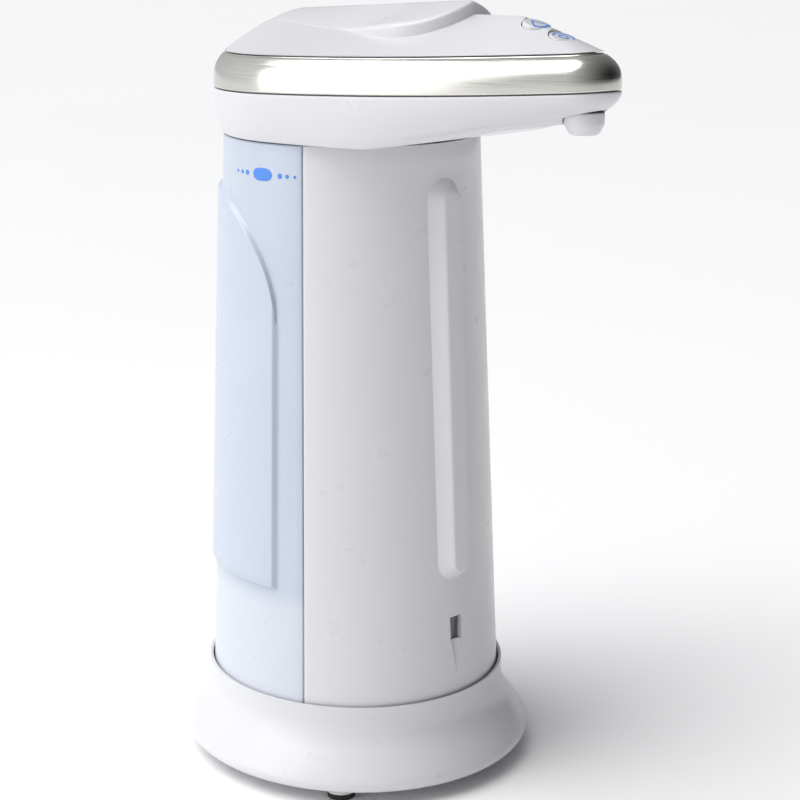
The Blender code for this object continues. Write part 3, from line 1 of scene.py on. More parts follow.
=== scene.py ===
"""Touch-free soap dispenser on a round foot: its visible skins, finishes and a small studio.

Places on the object are given as (x, forward, z), where forward is measured from the column's axis
towards the spout, which points along -Y.
"""

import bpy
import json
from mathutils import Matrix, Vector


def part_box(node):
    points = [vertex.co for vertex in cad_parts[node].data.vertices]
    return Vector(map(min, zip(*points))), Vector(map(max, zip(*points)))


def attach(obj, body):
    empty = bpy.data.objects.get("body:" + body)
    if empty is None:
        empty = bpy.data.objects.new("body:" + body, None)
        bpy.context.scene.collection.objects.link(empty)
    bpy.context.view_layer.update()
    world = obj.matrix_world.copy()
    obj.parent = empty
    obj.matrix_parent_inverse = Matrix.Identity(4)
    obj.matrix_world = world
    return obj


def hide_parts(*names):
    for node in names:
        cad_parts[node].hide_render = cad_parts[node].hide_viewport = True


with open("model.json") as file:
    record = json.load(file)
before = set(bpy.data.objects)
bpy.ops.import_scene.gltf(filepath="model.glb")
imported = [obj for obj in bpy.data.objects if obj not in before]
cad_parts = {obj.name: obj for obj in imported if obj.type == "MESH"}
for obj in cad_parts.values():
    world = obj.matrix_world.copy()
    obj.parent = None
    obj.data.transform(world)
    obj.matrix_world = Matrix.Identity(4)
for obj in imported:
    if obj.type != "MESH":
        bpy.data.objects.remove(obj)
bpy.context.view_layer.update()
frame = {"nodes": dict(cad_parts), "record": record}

import json
import math

import bpy
from bpy.props import FloatProperty, FloatVectorProperty, PointerProperty
from mathutils import Matrix, Vector

bl_info = {
    "name": "Touch-free soap dispenser",
    "version": (1, 0, 0),
    "blender": (4, 5, 0),
    "location": "View3D > Sidebar > Dispenser",
    "description": "Skins, finishes and studio for a soap dispenser with a round foot",
    "category": "Object",
}

MM = 0.001
TOUCH = 1e-6
HOUSING = "housing"
INSIDE_HEAD_Z = 170 * MM
ABOVE_HEAD_Z = 200 * MM
KEY_FORWARDS = (60.2 * MM, 67.8 * MM)
BAND_LOWEST_FORWARD = -35 * MM
BAND_LOW_Z, BAND_LOW_RISE, BAND_LOW_RUN = 169.3 * MM, 4.2 * MM, 120 * MM
BAND_HIGH_Z, BAND_HIGH_RISE, BAND_HIGH_RUN = 177.4 * MM, 3.4 * MM, 115 * MM
NOSE_START, NOSE_RUN = 20 * MM, 48 * MM
PANEL_EDGE_SOFT = math.radians(1.1)
FILL_MARK_Z = 150.8 * MM
FILL_MARK_AZIMUTH = math.radians(84)
CAMERA_PLACE = (-0.3030, -0.3188, 0.2103)
SKY_TONE = (0.97, 0.98, 1.0, 1)
SUN_SPREAD = math.radians(50)


# ---------------------------------------------------------------- settings

def length(name, description, millimetres):
    return FloatProperty(name=name, description=description, default=millimetres * MM,
                         unit="LENGTH",
                         precision=4)


def turn(name, description, degrees):
    """An angle given in degrees and kept in radians."""
    return FloatProperty(name=name, description=description, default=math.radians(degrees),
                         subtype="ANGLE")


def tint(name, description, colour):
    """A colour in linear red, green and blue."""
    return FloatVectorProperty(name=name, description=description, default=colour, size=3,
                               subtype="COLOR", min=0.0, max=1.0)


class DISPENSER_PG_column(bpy.types.PropertyGroup):
    foot_z: length("Foot height", "Where the column meets the foot's collar", 23.3)
    top_z: length("Top height", "Where the column meets the head", 158.3)
    low_z: length("Lowest edge", "Lowest edge of cover and tank, inside the collar", 19.8)
    foot_half_x: length("Foot half width", "Half the column's width at its foot", 35.8)
    foot_half_y: length("Foot half depth", "Half the column's depth at its foot", 37.7)
    top_half_x: length("Top half width", "Half the column's width at its top", 31.0)
    top_half_y: length("Top half depth", "Half the column's depth at its top", 31.3)
    seam: turn("Seam", "Turn from the front to the seam between cover and tank", 64.0)
    gap: length("Gap", "Gap between touching pieces", 0.3)
    cover_wall: length("Cover wall", "Wall of the front cover", 2.0)
    tank_wall: length("Tank wall", "Wall of the tank", 1.8)
    tank_floor: length("Tank floor", "Underside of the tank's floor", 49.0)
    panel_seam: turn("Panel side", "Turn from the front to the raised panel's side", 76.0)
    panel_bend: turn("Panel bend", "Turn over which the panel's edge rises to its apex", 56.0)
    panel_low: length("Panel foot", "Lower edge of the raised panel", 50.5)
    panel_shoulder: length("Panel shoulder", "Where the panel's upright side ends", 117.0)
    panel_apex: length("Panel apex", "Top of the panel's arch at the back", 146.5)
    panel_rise: length("Panel rise", "How far the panel stands out", 1.1)
    rib_low: length("Rib foot", "Lower end of the front rib", 52.5)
    rib_high: length("Rib top", "Upper end of the front rib", 149.5)
    rib_foot_half: length("Rib half width", "Half the rib's width where it meets the cover", 4.9)
    rib_crown_half: length("Rib crown half width", "Half the width of the rib's crown", 2.5)
    rib_height: length("Rib height", "How far the rib stands out", 3.0)
    window_half: length("Window half width", "Half the sensor opening's width", 1.9)
    window_low: length("Window foot", "Lower edge of the sensor opening", 36.5)
    window_high: length("Window top", "Upper edge of the sensor opening", 42.8)
    scoop_low: length("Scoop foot", "Lower point of the scoop under the window", 28.5)
    scoop_depth: length("Scoop depth", "Depth of the scoop at the window", 1.4)


class DISPENSER_PG_foot(bpy.types.PropertyGroup):
    half_x: length("Half width", "Half the foot's width", 43.6)
    oval: FloatProperty(name="Oval", description="The foot's depth over its width", default=1.055)
    deck_z: length("Deck", "Top of the deck inside the collar", 19.5)
    rim_z: length("Rim", "Lower edge of the skirt", 3.6)
    pad_radius: length("Pad radius", "Radius of each foot pad", 3.4)


class DISPENSER_PG_head(bpy.types.PropertyGroup):
    rear_radius: length("Rear radius", "Radius of the head's round rear", 33.5)
    rear_forward: length("Rear centre", "How far forward the rear arc's centre is", 0.5)
    nose_radius: length("Nose radius", "Radius of the nose", 9.6)
    nose_forward: length("Nose centre", "How far forward the nose's centre is", 71.9)
    side_radius: length("Side radius", "Radius of the long side arcs", 260.0)
    wall: length("Wall", "Wall of the head's shells", 2.0)
    floor_setback: length("Floor setback", "How far the floor is drawn in at the rear", 1.6)
    nose_floor_setback: length("Nose floor setback", "How far the floor is drawn in at the nose",
                               6.5)
    band_thick: length("Band thickness", "Thickness of the bright band", 1.2)
    band_setback: length("Band setback", "How far the band's top leans in", 2.8)
    band_nose_setback: length("Band nose setback", "How far the band's top leans in at the nose",
                              4.0)
    ridge_rear: length("Ridge rear", "Where the ridge starts", -17.0)
    ridge_front: length("Ridge front", "Where the ridge ends", 56.0)
    ridge_rear_z: length("Ridge rear height", "Height of the ridge's rear end", 186.9)
    ridge_front_z: length("Ridge front height", "Height of the ridge's front end", 187.7)
    nozzle_forward: length("Spout", "How far forward the spout is", 74.2)
    nozzle_radius: length("Spout radius", "Radius of the spout's upper part", 4.4)
    nozzle_tip_radius: length("Spout tip radius", "Radius of the spout's tip", 3.0)
    nozzle_bore: length("Spout bore", "Radius of the spout's bore", 1.3)
    nozzle_tip_z: length("Spout tip", "Height of the spout's tip", 163.5)
    nozzle_top_z: length("Spout top", "Height of the spout's upper end", 168.5)
    key_radius: length("Key radius", "Radius of the push keys", 3.2)
    key_gap: length("Key gap", "Gap round each push key", 0.25)


class DISPENSER_PG_lid(bpy.types.PropertyGroup):
    nose_radius: length("Nose radius", "Radius of the lid's round front", 15.0)
    nose_forward: length("Nose centre", "How far forward the front arc's centre is", 26.0)
    rear_half: length("Rear half width", "Half the lid's width at its hinge", 10.0)
    rise: length("Rise", "How far the lid's front stands proud of the dome", 3.1)
    wall: length("Wall", "Wall of the lid", 1.5)
    deck_z: length("Deck", "Floor of the pocket that the lid lies in", 181.8)
    deck_thick: length("Deck thickness", "Thickness of that floor", 1.8)
    pivot_forward: length("Pivot", "How far forward the hinge's axis is", -21.0)
    pivot_z: length("Pivot height", "Height of the hinge's axis", 181.4)
    barrel_radius: length("Barrel radius", "Radius of the hinge's barrel", 4.1)
    pin_radius: length("Pin radius", "Radius of the hinge's pin", 0.9)
    mouth_half_x: length("Mouth half width", "Half the filler mouth's width", 7.5)
    mouth_rear: length("Mouth rear", "Rear edge of the filler mouth", -13.0)
    mouth_front: length("Mouth front", "Front edge of the filler mouth", 9.0)


class DISPENSER_PG_finish(bpy.types.PropertyGroup):
    white: tint("White", "Glossy white shells", (0.66, 0.66, 0.683))
    tank: tint("Tank", "Pale blue tank over its floor", (0.50, 0.55, 0.645))
    tank_skirt: tint("Tank skirt", "Tank where white shows through below its floor",
                     (0.594, 0.62, 0.69))
    band: tint("Band", "Bright band round the head", (0.66, 0.65, 0.61))
    print_blue: tint("Print", "Blue printed marks", (0.07, 0.24, 0.72))
    rubber: tint("Rubber", "Foot pads", (0.018, 0.018, 0.018))
    floor: tint("Floor", "Studio floor", (0.985, 0.985, 0.985))


class DISPENSER_PG_stage(bpy.types.PropertyGroup):
    lens: FloatProperty(name="Lens", description="Camera lens in millimetres", default=83.5)
    azimuth: turn("Azimuth", "Turn of the view round the column, from straight in front", 42.0)
    elevation: turn("Elevation", "Angle of the view above the horizon", 14.83)
    aim_turn: turn("Aim turn", "Small turn of the view to the side", 1.47)
    key_power: FloatProperty(name="Key light", description="Power of the large light at the left",
                             default=1.9)
    sun_power: FloatProperty(name="Sun", description="Strength of the soft light from above",
                             default=2.0)
    sky_left: FloatProperty(name="Sky left", description="Strength of the sky at the left",
                            default=0.88)
    sky_right: FloatProperty(name="Sky right", description="Strength of the sky at the right",
                             default=0.0)


# ---------------------------------------------------------------- numbers

def blend(low, high, share):
    """The value a share of the way from low to high."""
    return low + (high - low) * share


def spread(start, end, count):
    """Evenly spaced values, with both ends among them."""
    return [blend(start, end, i / (count - 1)) for i in range(count)]


def clamp(value, low=0.0, high=1.0):
    return max(low, min(high, value))


def smooth(value):
    """A step from 0 to 1 that starts and ends level."""
    value = clamp(value)
    return value * value * (3 - 2 * value)


def along(points, x):
    """The value at x of a smooth curve through (x, value) points, held level past its ends."""
    if x <= points[0][0]:
        return points[0][1]
    for i in range(len(points) - 1):
        x0, y0 = points[i]
        x1, y1 = points[i + 1]
        if x <= x1:
            before = points[i - 1] if i else points[i]
            after = points[i + 2] if i + 2 < len(points) else points[i + 1]
            width = x1 - x0
            start = (y1 - before[1]) / (x1 - before[0]) * width
            end = (after[1] - y0) / (after[0] - x0) * width
            s = (x - x0) / width
            return (y0 * (1 + 2 * s) * (1 - s) ** 2 + start * s * (1 - s) ** 2
                    + y1 * s * s * (3 - 2 * s) - end * s * s * (1 - s))
    return points[-1][1]


def rounded(points, radius, steps=4):
    """A line of (r, z) points whose corners are rounded off by short curves."""
    path = [points[0]]
    for before, corner, after in zip(points, points[1:], points[2:]):
        b, c, a = Vector(before), Vector(corner), Vector(after)
        back = min(radius, (b - c).length * 0.45)
        on = min(radius, (a - c).length * 0.45)
        start = c + (b - c).normalized() * back
        end = c + (a - c).normalized() * on
        for i in range(steps + 1):
            s = i / steps
            path.append(tuple(start * (1 - s) ** 2 + c * 2 * s * (1 - s) + end * s * s))
    path.append(points[-1])
    return path


class Form:
    """The dispenser's outlines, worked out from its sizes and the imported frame."""

    def __init__(self, scene):
        for group in ("column", "foot", "head", "lid"):
            values = getattr(scene, "dispenser_" + group)
            for key in values.bl_rna.properties.keys():
                if key not in ("rna_type", "name"):
                    setattr(self, group + "_" + key, getattr(values, key))
        low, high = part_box("base_shell")
        self.axis_y = (low[1] + high[1]) / 2
        self.outline = self.head_outline()

    def at(self, x, forward, z):
        return Vector((x, self.axis_y - forward, z))

    # column

    def column_half(self, z):
        """The column's half width and half depth at a height."""
        share = (z - self.column_foot_z) / (self.column_top_z - self.column_foot_z)
        return (blend(self.column_foot_half_x, self.column_top_half_x, share),
                blend(self.column_foot_half_y, self.column_top_half_y, share))

    def column_point(self, azimuth, z, proud=0.0):
        """A point on the column, azimuth 0 at the front and growing towards +X."""
        half_x, half_y = self.column_half(z)
        return self.at((half_x + proud) * math.sin(azimuth), (half_y + proud) * math.cos(azimuth),
                       z)

    def seam_forward(self, z):
        """How far forward the seam between cover and tank lies at a height."""
        return self.column_half(z)[1] * math.cos(self.column_seam)

    def seam_azimuth(self, z, offset, inset=0.0):
        """The azimuth where a wall meets a plane that lies offset behind the seam."""
        edge = self.seam_forward(z) + offset
        return math.acos(edge / (self.column_half(z)[1] - inset))

    def tank_start(self, z, setback):
        """The azimuth where a ring set back from the tank's outside leaves the seam."""
        chord = self.seam_forward(z) - self.column_gap / 2 - setback
        return math.acos(chord / (self.column_half(z)[1] - setback))

    def panel_top(self, azimuth):
        """The raised panel's upper edge: upright sides that bend over into a flat arch."""
        away = min(azimuth, 2 * math.pi - azimuth)
        share = clamp((away - self.column_panel_seam) / self.column_panel_bend)
        return blend(self.column_panel_shoulder, self.column_panel_apex,
                     math.sqrt(1 - (1 - share) ** 2))

    # head

    def head_arcs(self):
        """Centre and turns of the side arc that touches the rear and nose arcs."""
        span = self.head_nose_forward - self.head_rear_forward
        to_rear = self.head_side_radius - self.head_rear_radius
        to_nose = self.head_side_radius - self.head_nose_radius
        forward = (to_rear ** 2 - to_nose ** 2 + span ** 2) / (2 * span)
        across = -math.sqrt(to_rear ** 2 - forward ** 2)
        rear_turn = math.atan2(-forward, -across)
        nose_turn = math.atan2(span - forward, -across)
        return across, self.head_rear_forward + forward, rear_turn, nose_turn

    def half_outline(self, steps=(40, 30, 18)):
        """(x, forward, normal x, normal forward) from the rear to the nose, on the +X side."""
        across, forward, rear_turn, nose_turn = self.head_arcs()
        arcs = ((0.0, self.head_rear_forward, self.head_rear_radius, -math.pi / 2, rear_turn,
                 steps[0]),
                (across, forward, self.head_side_radius, rear_turn, nose_turn, steps[1]),
                (0.0, self.head_nose_forward, self.head_nose_radius, nose_turn, math.pi / 2,
                 steps[2]))
        points = []
        for cx, cf, radius, start, end, count in arcs:
            for i in range(count):
                a = blend(start, end, i / count)
                points.append((cx + radius * math.cos(a), cf + radius * math.sin(a), math.cos(a),
                               math.sin(a)))
        points.append((0.0, self.head_nose_forward + self.head_nose_radius, 0.0, 1.0))
        return points

    def head_outline(self):
        right = self.half_outline()
        left = [(-x, f, -nx, nf) for x, f, nx, nf in reversed(right[1:-1])]
        return right + left

    def nose_share(self, forward):
        """0 over the column, growing to 1 towards the head's nose."""
        return smooth((forward - NOSE_START) / NOSE_RUN)

    def band_low(self, forward):
        """The height of the band's lower edge, which rises away from its lowest place."""
        return BAND_LOW_Z + BAND_LOW_RISE * ((forward - BAND_LOWEST_FORWARD) / BAND_LOW_RUN) ** 2

    def band_high(self, forward):
        """The height of the band's upper edge."""
        return BAND_HIGH_Z + BAND_HIGH_RISE * ((forward - BAND_LOWEST_FORWARD) / BAND_HIGH_RUN) ** 2

    def band_setback(self, forward):
        return blend(self.head_band_setback, self.head_band_nose_setback, self.nose_share(forward))

    def floor_setback(self, forward):
        return blend(self.head_floor_setback, self.head_nose_floor_setback,
                     self.nose_share(forward))

    def underside(self, forward):
        """The lower shell's floor: level over the column, then rising to the spout."""
        rise = along(((31 * MM, 0.0), (50 * MM, 3.4 * MM), (59 * MM, 5.4 * MM), (68 * MM, 6.8 * MM),
                      (76 * MM, 8.4 * MM)), forward)
        return self.column_top_z + rise

    def ridge(self, forward):
        """The height of the head's top along its middle."""
        run = self.head_ridge_front - self.head_ridge_rear
        share = clamp((forward - self.head_ridge_rear) / run)
        return blend(self.head_ridge_rear_z, self.head_ridge_front_z, share)

    def head_ring(self, setback, height):
        """A ring of the head's outline, with a setback and a height that follow the place forward."""
        ring = []
        for x, forward, normal_x, normal_forward in self.outline:
            d = setback(forward)
            ring.append(self.at(x - normal_x * d, forward - normal_forward * d, height(forward)))
        return ring

    def fullness(self, forward):
        """How boxy the dome is: round at the rear, nearly straight at the sides and the nose."""
        return blend(1.08, 1.65, smooth((5 * MM - forward) / (35 * MM)))

    def dome_ring(self, share, extra, drop):
        """A ring between the ridge (share 0) and the dome's edge (share 1)."""
        ring = []
        for x, forward, normal_x, normal_forward in self.outline:
            d = self.band_setback(forward) + extra
            edge_x = x - normal_x * d
            edge_forward = forward - normal_forward * d
            ridge_forward = clamp(edge_forward, self.head_ridge_rear, self.head_ridge_front)
            low = self.band_high(forward) + self.column_gap
            high = self.ridge(ridge_forward)
            z = low + (high - low) * (1 - share ** self.fullness(edge_forward)) - drop
            ring.append(self.at(edge_x * share, blend(ridge_forward, edge_forward, share), z))
        return ring

    def dome_z(self, x, forward):
        """The height of the dome's outer face over a place."""
        ridge_forward = clamp(forward, self.head_ridge_rear, self.head_ridge_front)
        share = self.edge_share(x, forward, ridge_forward)
        low = self.band_high(forward) + self.column_gap
        return low + (self.ridge(forward) - low) * (1 - share ** self.fullness(forward))

    def edge_share(self, x, forward, ridge_forward):
        """Where a place lies between the ridge (0) and the dome's edge (1)."""
        away = Vector((abs(x), forward - ridge_forward))
        if away.length < MM * 0.01:
            return 0.0
        for (ax, af), (bx, bf) in zip(self.dome_edge(), self.dome_edge()[1:]):
            edge = Vector((bx - ax, bf - af))
            start = Vector((ax, af - ridge_forward))
            cross = away.x * edge.y - away.y * edge.x
            if abs(cross) < 1e-14:
                continue
            reach = (start.x * edge.y - start.y * edge.x) / cross
            share = (start.x * away.y - start.y * away.x) / cross
            if reach > 0 and -TOUCH <= share <= 1 + TOUCH:
                return clamp(1 / reach)
        return 1.0

    def dome_edge(self):
        """One half of the dome's lower edge, worked out once."""
        if not hasattr(self, "kept_edge"):
            self.kept_edge = [(x - nx * self.band_setback(f), f - nf * self.band_setback(f))
                              for x, f, nx, nf in self.half_outline((18, 12, 8))]
        return self.kept_edge

    def key_aim(self, forwards):
        """The outward normal of the sloping front under the keys."""
        rise = self.dome_z(0, forwards[0]) - self.dome_z(0, forwards[1])
        slope = math.atan2(rise, forwards[1] - forwards[0])
        return Vector((0, -math.sin(slope), math.cos(slope)))

    # lid

    def tongue(self, grow=0.0, rear=None, nose_steps=48, runs=30):
        """The lid's plan: a round nose at the front and sides that close in to the rear."""
        rear = self.lid_pivot_forward if rear is None else rear
        nose = []
        for i in range(nose_steps + 1):
            a = math.pi * i / nose_steps
            nose.append(((self.lid_nose_radius + grow) * math.cos(a),
                         self.lid_nose_forward + (self.lid_nose_radius + grow) * math.sin(a)))
        left = []
        for i in range(1, runs + 1):
            forward = blend(self.lid_nose_forward, rear, i / runs)
            reach = self.lid_nose_forward - self.lid_pivot_forward
            share = clamp((forward - self.lid_pivot_forward) / reach)
            left.append((-blend(self.lid_rear_half, self.lid_nose_radius, share) - grow, forward))
        right = [(-x, forward) for x, forward in reversed(left)]
        return nose + left + right

    def lid_top(self, x, forward):
        """The lid's top: flush with the dome at the rear, standing proud of it towards the nose."""
        reach = self.lid_nose_forward + self.lid_nose_radius - self.head_ridge_rear
        middle = clamp((forward - self.head_ridge_rear) / reach)
        side = smooth((forward - 10 * MM) / (22 * MM))
        across = clamp(abs(x) / self.lid_nose_radius)
        return self.dome_z(x, forward) + self.lid_rise * blend(middle, side, across)

    def mouth(self, grow=0.0, corner=5.0 * MM, steps=10):
        """A rounded rectangle for the filler mouth."""
        half_x = self.lid_mouth_half_x - corner
        centre = (self.lid_mouth_rear + self.lid_mouth_front) / 2
        half_f = (self.lid_mouth_front - self.lid_mouth_rear) / 2 - corner
        points = []
        for quarter, (sx, sf) in enumerate(((1, 1), (-1, 1), (-1, -1), (1, -1))):
            for i in range(steps + 1):
                a = math.pi / 2 * (quarter + i / steps)
                points.append((sx * half_x + (corner + grow) * math.cos(a),
                               centre + sf * half_f + (corner + grow) * math.sin(a)))
        return points


# ---------------------------------------------------------------- modelling helpers

def only(piece):
    """Select one object and make it the active one."""
    bpy.ops.object.select_all(action="DESELECT")
    piece.select_set(True)
    bpy.context.view_layer.objects.active = piece


def skin(name, rings, closed=True, sharp=35.0, flip=False):
    """A grid whose rows are laid along rings, welded where they meet and shaded smooth."""
    count = len(rings[0])
    across = count + (1 if closed else 0)
    bpy.ops.object.select_all(action="DESELECT")
    bpy.ops.mesh.primitive_grid_add(x_subdivisions=across - 1, y_subdivisions=len(rings) - 1,
                                    size=1.0)
    piece = bpy.context.object
    piece.name = name
    knots = piece.data.vertices
    for row, ring in enumerate(rings):
        for column in range(across):
            knots[row * across + column].co = ring[column % count]
    bpy.ops.object.mode_set(mode="EDIT")
    bpy.ops.mesh.select_all(action="SELECT")
    bpy.ops.mesh.remove_doubles(threshold=TOUCH)
    if flip:
        bpy.ops.mesh.flip_normals()
    bpy.ops.object.mode_set(mode="OBJECT")
    bpy.ops.object.shade_smooth_by_angle(angle=math.radians(sharp))
    return piece


def flat_ring(ring):
    """A ring drawn together to its middle line's nearest point, to close a form."""
    middle = sum(ring, Vector()) / len(ring)
    return [middle.copy() for _ in ring]


def prism(name, form, outline, low_z, high_z):
    """An upright prism over an outline of (x, forward) points, closed at both ends."""
    low = [form.at(x, f, low_z) for x, f in outline]
    high = [form.at(x, f, high_z) for x, f in outline]
    return skin(name, [flat_ring(low), low, high, flat_ring(high)])


def turned(name, profile, centre, oval=1.0, steps=96, sharp=35.0):
    """A form turned about the upright: profile is (radius, z) from its start to its end."""
    rings = []
    for radius, z in profile:
        rings.append([Vector((centre.x + radius * math.cos(2 * math.pi * i / steps),
                              centre.y + radius * oval * math.sin(2 * math.pi * i / steps), z))
                      for i in range(steps)])
    return skin(name, rings, sharp=sharp)


def rod(name, start, aim, radius, reach, steps=64):
    """A plain cylinder from a point along a direction, for cutting."""
    bpy.ops.object.select_all(action="DESELECT")
    bpy.ops.mesh.primitive_cylinder_add(vertices=steps, radius=radius, depth=reach)
    piece = bpy.context.object
    piece.name = name
    turn_to = Vector((0, 0, 1)).rotation_difference(aim).to_matrix().to_4x4()
    piece.data.transform(Matrix.Translation(start + aim * (reach / 2)) @ turn_to)
    return piece


def block(name, low, high):
    """A plain box between two corners, for cutting."""
    bpy.ops.object.select_all(action="DESELECT")
    bpy.ops.mesh.primitive_cube_add(size=1.0)
    piece = bpy.context.object
    piece.name = name
    for knot in piece.data.vertices:
        knot.co = [blend(l, h, c + 0.5) for l, h, c in zip(low, high, knot.co)]
    return piece


def combine(piece, tool, operation):
    """Cut, join or intersect a piece with a tool, and clear the tool away."""
    only(piece)
    change = piece.modifiers.new(operation.lower(), "BOOLEAN")
    change.object = tool
    change.operation = operation
    change.solver = "EXACT"
    bpy.ops.object.modifier_apply(modifier=change.name)
    bpy.data.objects.remove(tool)
    if not piece.data.polygons:
        raise RuntimeError("a cut left nothing of " + piece.name)
    return piece


def soften(piece, width, segments=2, sharp=35.0, limit=40.0):
    """Round a piece's hard edges a little, and shade it smooth."""
    only(piece)
    edge = piece.modifiers.new("soft_edges", "BEVEL")
    edge.width = width
    edge.segments = segments
    edge.limit_method = "ANGLE"
    edge.angle_limit = math.radians(limit)
    edge.use_clamp_overlap = True
    bpy.ops.object.modifier_apply(modifier=edge.name)
    bpy.ops.object.shade_smooth_by_angle(angle=math.radians(sharp))
    return piece


def settle(piece, body, look, slot, *nodes):
    """Give a finished piece its look, its body and the CAD nodes that it stands for."""
    piece.data.materials.clear()
    piece.data.materials.append(look)
    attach(piece, body)
    if nodes:
        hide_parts(*nodes)
    return piece


# ---------------------------------------------------------------- finishes

class Look:
    """A node-based material, built up one effect at a time."""

    def __init__(self, name, roughness, metallic=0.0, coat=0.0):
        self.material = bpy.data.materials.new(name)
        self.material.use_nodes = True
        self.tree = self.material.node_tree
        self.shader = self.tree.nodes["Principled BSDF"]
        self.shader.inputs["Roughness"].default_value = roughness
        self.shader.inputs["Metallic"].default_value = metallic
        self.shader.inputs["Coat Weight"].default_value = coat
        self.shader.inputs["Coat Roughness"].default_value = 0.12
        self.place = self.tree.nodes.new("ShaderNodeTexCoord")

    def link(self, source, target):
        self.tree.links.new(source, target)

    def stretched(self, scale):
        """Object coordinates scaled along each axis."""
        mapping = self.tree.nodes.new("ShaderNodeMapping")
        mapping.inputs["Scale"].default_value = scale
        self.link(self.place.outputs["Object"], mapping.inputs["Vector"])
        return mapping.outputs["Vector"]

    def noise(self, scale, detail=2.0, stretch=(1, 1, 1)):
        """A noise pattern on object coordinates."""
        made = self.tree.nodes.new("ShaderNodeTexNoise")
        made.inputs["Scale"].default_value = scale
        made.inputs["Detail"].default_value = detail
        self.link(self.stretched(stretch), made.inputs["Vector"])
        return made.outputs["Fac"]

    def ramp(self, value, stops):
        """Colours (or greys) along a value."""
        made = self.tree.nodes.new("ShaderNodeValToRGB")
        line = made.color_ramp.elements
        while len(line) < len(stops):
            line.new(0.5)
        for stop, (place, colour) in zip(line, stops):
            stop.position = place
            stop.color = (*colour, 1.0)
        self.link(value, made.inputs["Fac"])
        return made.outputs["Color"]

    def mix(self, share, low, high):
        """Two colours mixed by a share."""
        made = self.tree.nodes.new("ShaderNodeMix")
        made.data_type = "RGBA"
        self.link(share, made.inputs[0])
        self.link(low, made.inputs[6])
        self.link(high, made.inputs[7])
        return made.outputs[2]

    def span(self, value, low, high, to_low, to_high):
        """A value carried from one range to another."""
        made = self.tree.nodes.new("ShaderNodeMapRange")
        for socket, number in zip(("From Min", "From Max", "To Min", "To Max"),
                                  (low, high, to_low, to_high)):
            made.inputs[socket].default_value = number
        self.link(value, made.inputs["Value"])
        return made.outputs["Result"]

    def axis(self, name):
        """One of the object coordinates, by its letter."""
        made = self.tree.nodes.new("ShaderNodeSeparateXYZ")
        self.link(self.place.outputs["Object"], made.inputs["Vector"])
        return made.outputs[name]

    def colour(self, source):
        self.link(source, self.shader.inputs["Base Color"])

    def rough(self, source):
        self.link(source, self.shader.inputs["Roughness"])

    def bump(self, source, strength, depth):
        """Relief on the surface, without a change of shape."""
        made = self.tree.nodes.new("ShaderNodeBump")
        made.inputs["Strength"].default_value = strength
        made.inputs["Distance"].default_value = depth
        self.link(source, made.inputs["Height"])
        self.link(made.outputs["Normal"], self.shader.inputs["Normal"])


def shade(colour, factor):
    """A colour made darker or brighter."""
    return tuple(clamp(c * factor) for c in colour)


def moulded(name, colour, roughness=0.3, coat=0.0, grain=900.0, strength=0.06, spread=0.03):
    """Injection-moulded plastic: faint colour drift, fine spark texture and uneven gloss."""
    look = Look(name, roughness, coat=coat)
    drift = look.noise(38.0, 3.0)
    look.colour(look.ramp(drift, ((0.3, shade(colour, 1 - spread)),
                                  (0.7, shade(colour, 1 + spread * 0.5)))))
    look.rough(look.span(look.noise(120.0, 4.0), 0.3, 0.7, roughness - 0.03, roughness + 0.05))
    look.bump(look.noise(grain, 2.0), strength, 0.00004)
    return look


def metal(name, colour, roughness, stretch=(1, 1, 1), grain=700.0, strength=0.1):
    """Metal with fine brush lines along one way."""
    look = Look(name, roughness, metallic=1.0)
    lines = look.noise(grain, 4.0, stretch)
    look.colour(look.ramp(lines, ((0.25, shade(colour, 0.9)), (0.75, shade(colour, 1.05)))))
    look.rough(look.span(lines, 0.3, 0.7, roughness - 0.05, roughness + 0.07))
    look.bump(lines, strength, 0.00003)
    return look


def tank_look(colours):
    """Cloudy pale blue plastic, paler below the tank's floor where the white seat shows through."""
    look = Look("tank_plastic", 0.3, coat=0.25)
    height = look.span(look.axis("Z"), 46.0 * MM, 50.5 * MM, 0.0, 1.0)
    cloud = look.noise(30.0, 3.0)
    upper = look.ramp(cloud, ((0.3, shade(colours.tank, 0.985)), (0.7, shade(colours.tank, 1.015))))
    lower = look.ramp(cloud, ((0.3, shade(colours.tank_skirt, 0.99)),
                              (0.7, shade(colours.tank_skirt, 1.01))))
    look.colour(look.mix(height, lower, upper))
    look.rough(look.span(look.noise(140.0, 4.0), 0.3, 0.7, 0.27, 0.36))
    look.bump(look.noise(900.0, 2.0), 0.05, 0.00004)
    return look.material


def cell_look():
    """Printed battery sleeve: a dark body with a bright end and a thin stripe."""
    look = Look("cell_wrap", 0.3, metallic=0.3)
    stops = ((0.0, (0.55, 0.56, 0.58)), (0.08, (0.55, 0.56, 0.58)), (0.1, (0.03, 0.12, 0.07)),
             (0.72, (0.03, 0.12, 0.07)), (0.74, (0.62, 0.5, 0.2)), (0.9, (0.62, 0.5, 0.2)))
    place = look.span(look.axis("Y"), -8.0 * MM, 42.0 * MM, 0.0, 1.0)
    wear = look.noise(200.0, 3.0)
    plain = look.ramp(place, stops)
    look.colour(look.mix(look.span(wear, 0.2, 0.9, 0.0, 0.12), plain,
                         look.ramp(wear, ((0.2, (0.3, 0.3, 0.3)), (0.8, (0.6, 0.6, 0.6))))))
    look.rough(look.span(wear, 0.3, 0.7, 0.25, 0.38))
    look.bump(wear, 0.04, 0.00003)
    return look.material


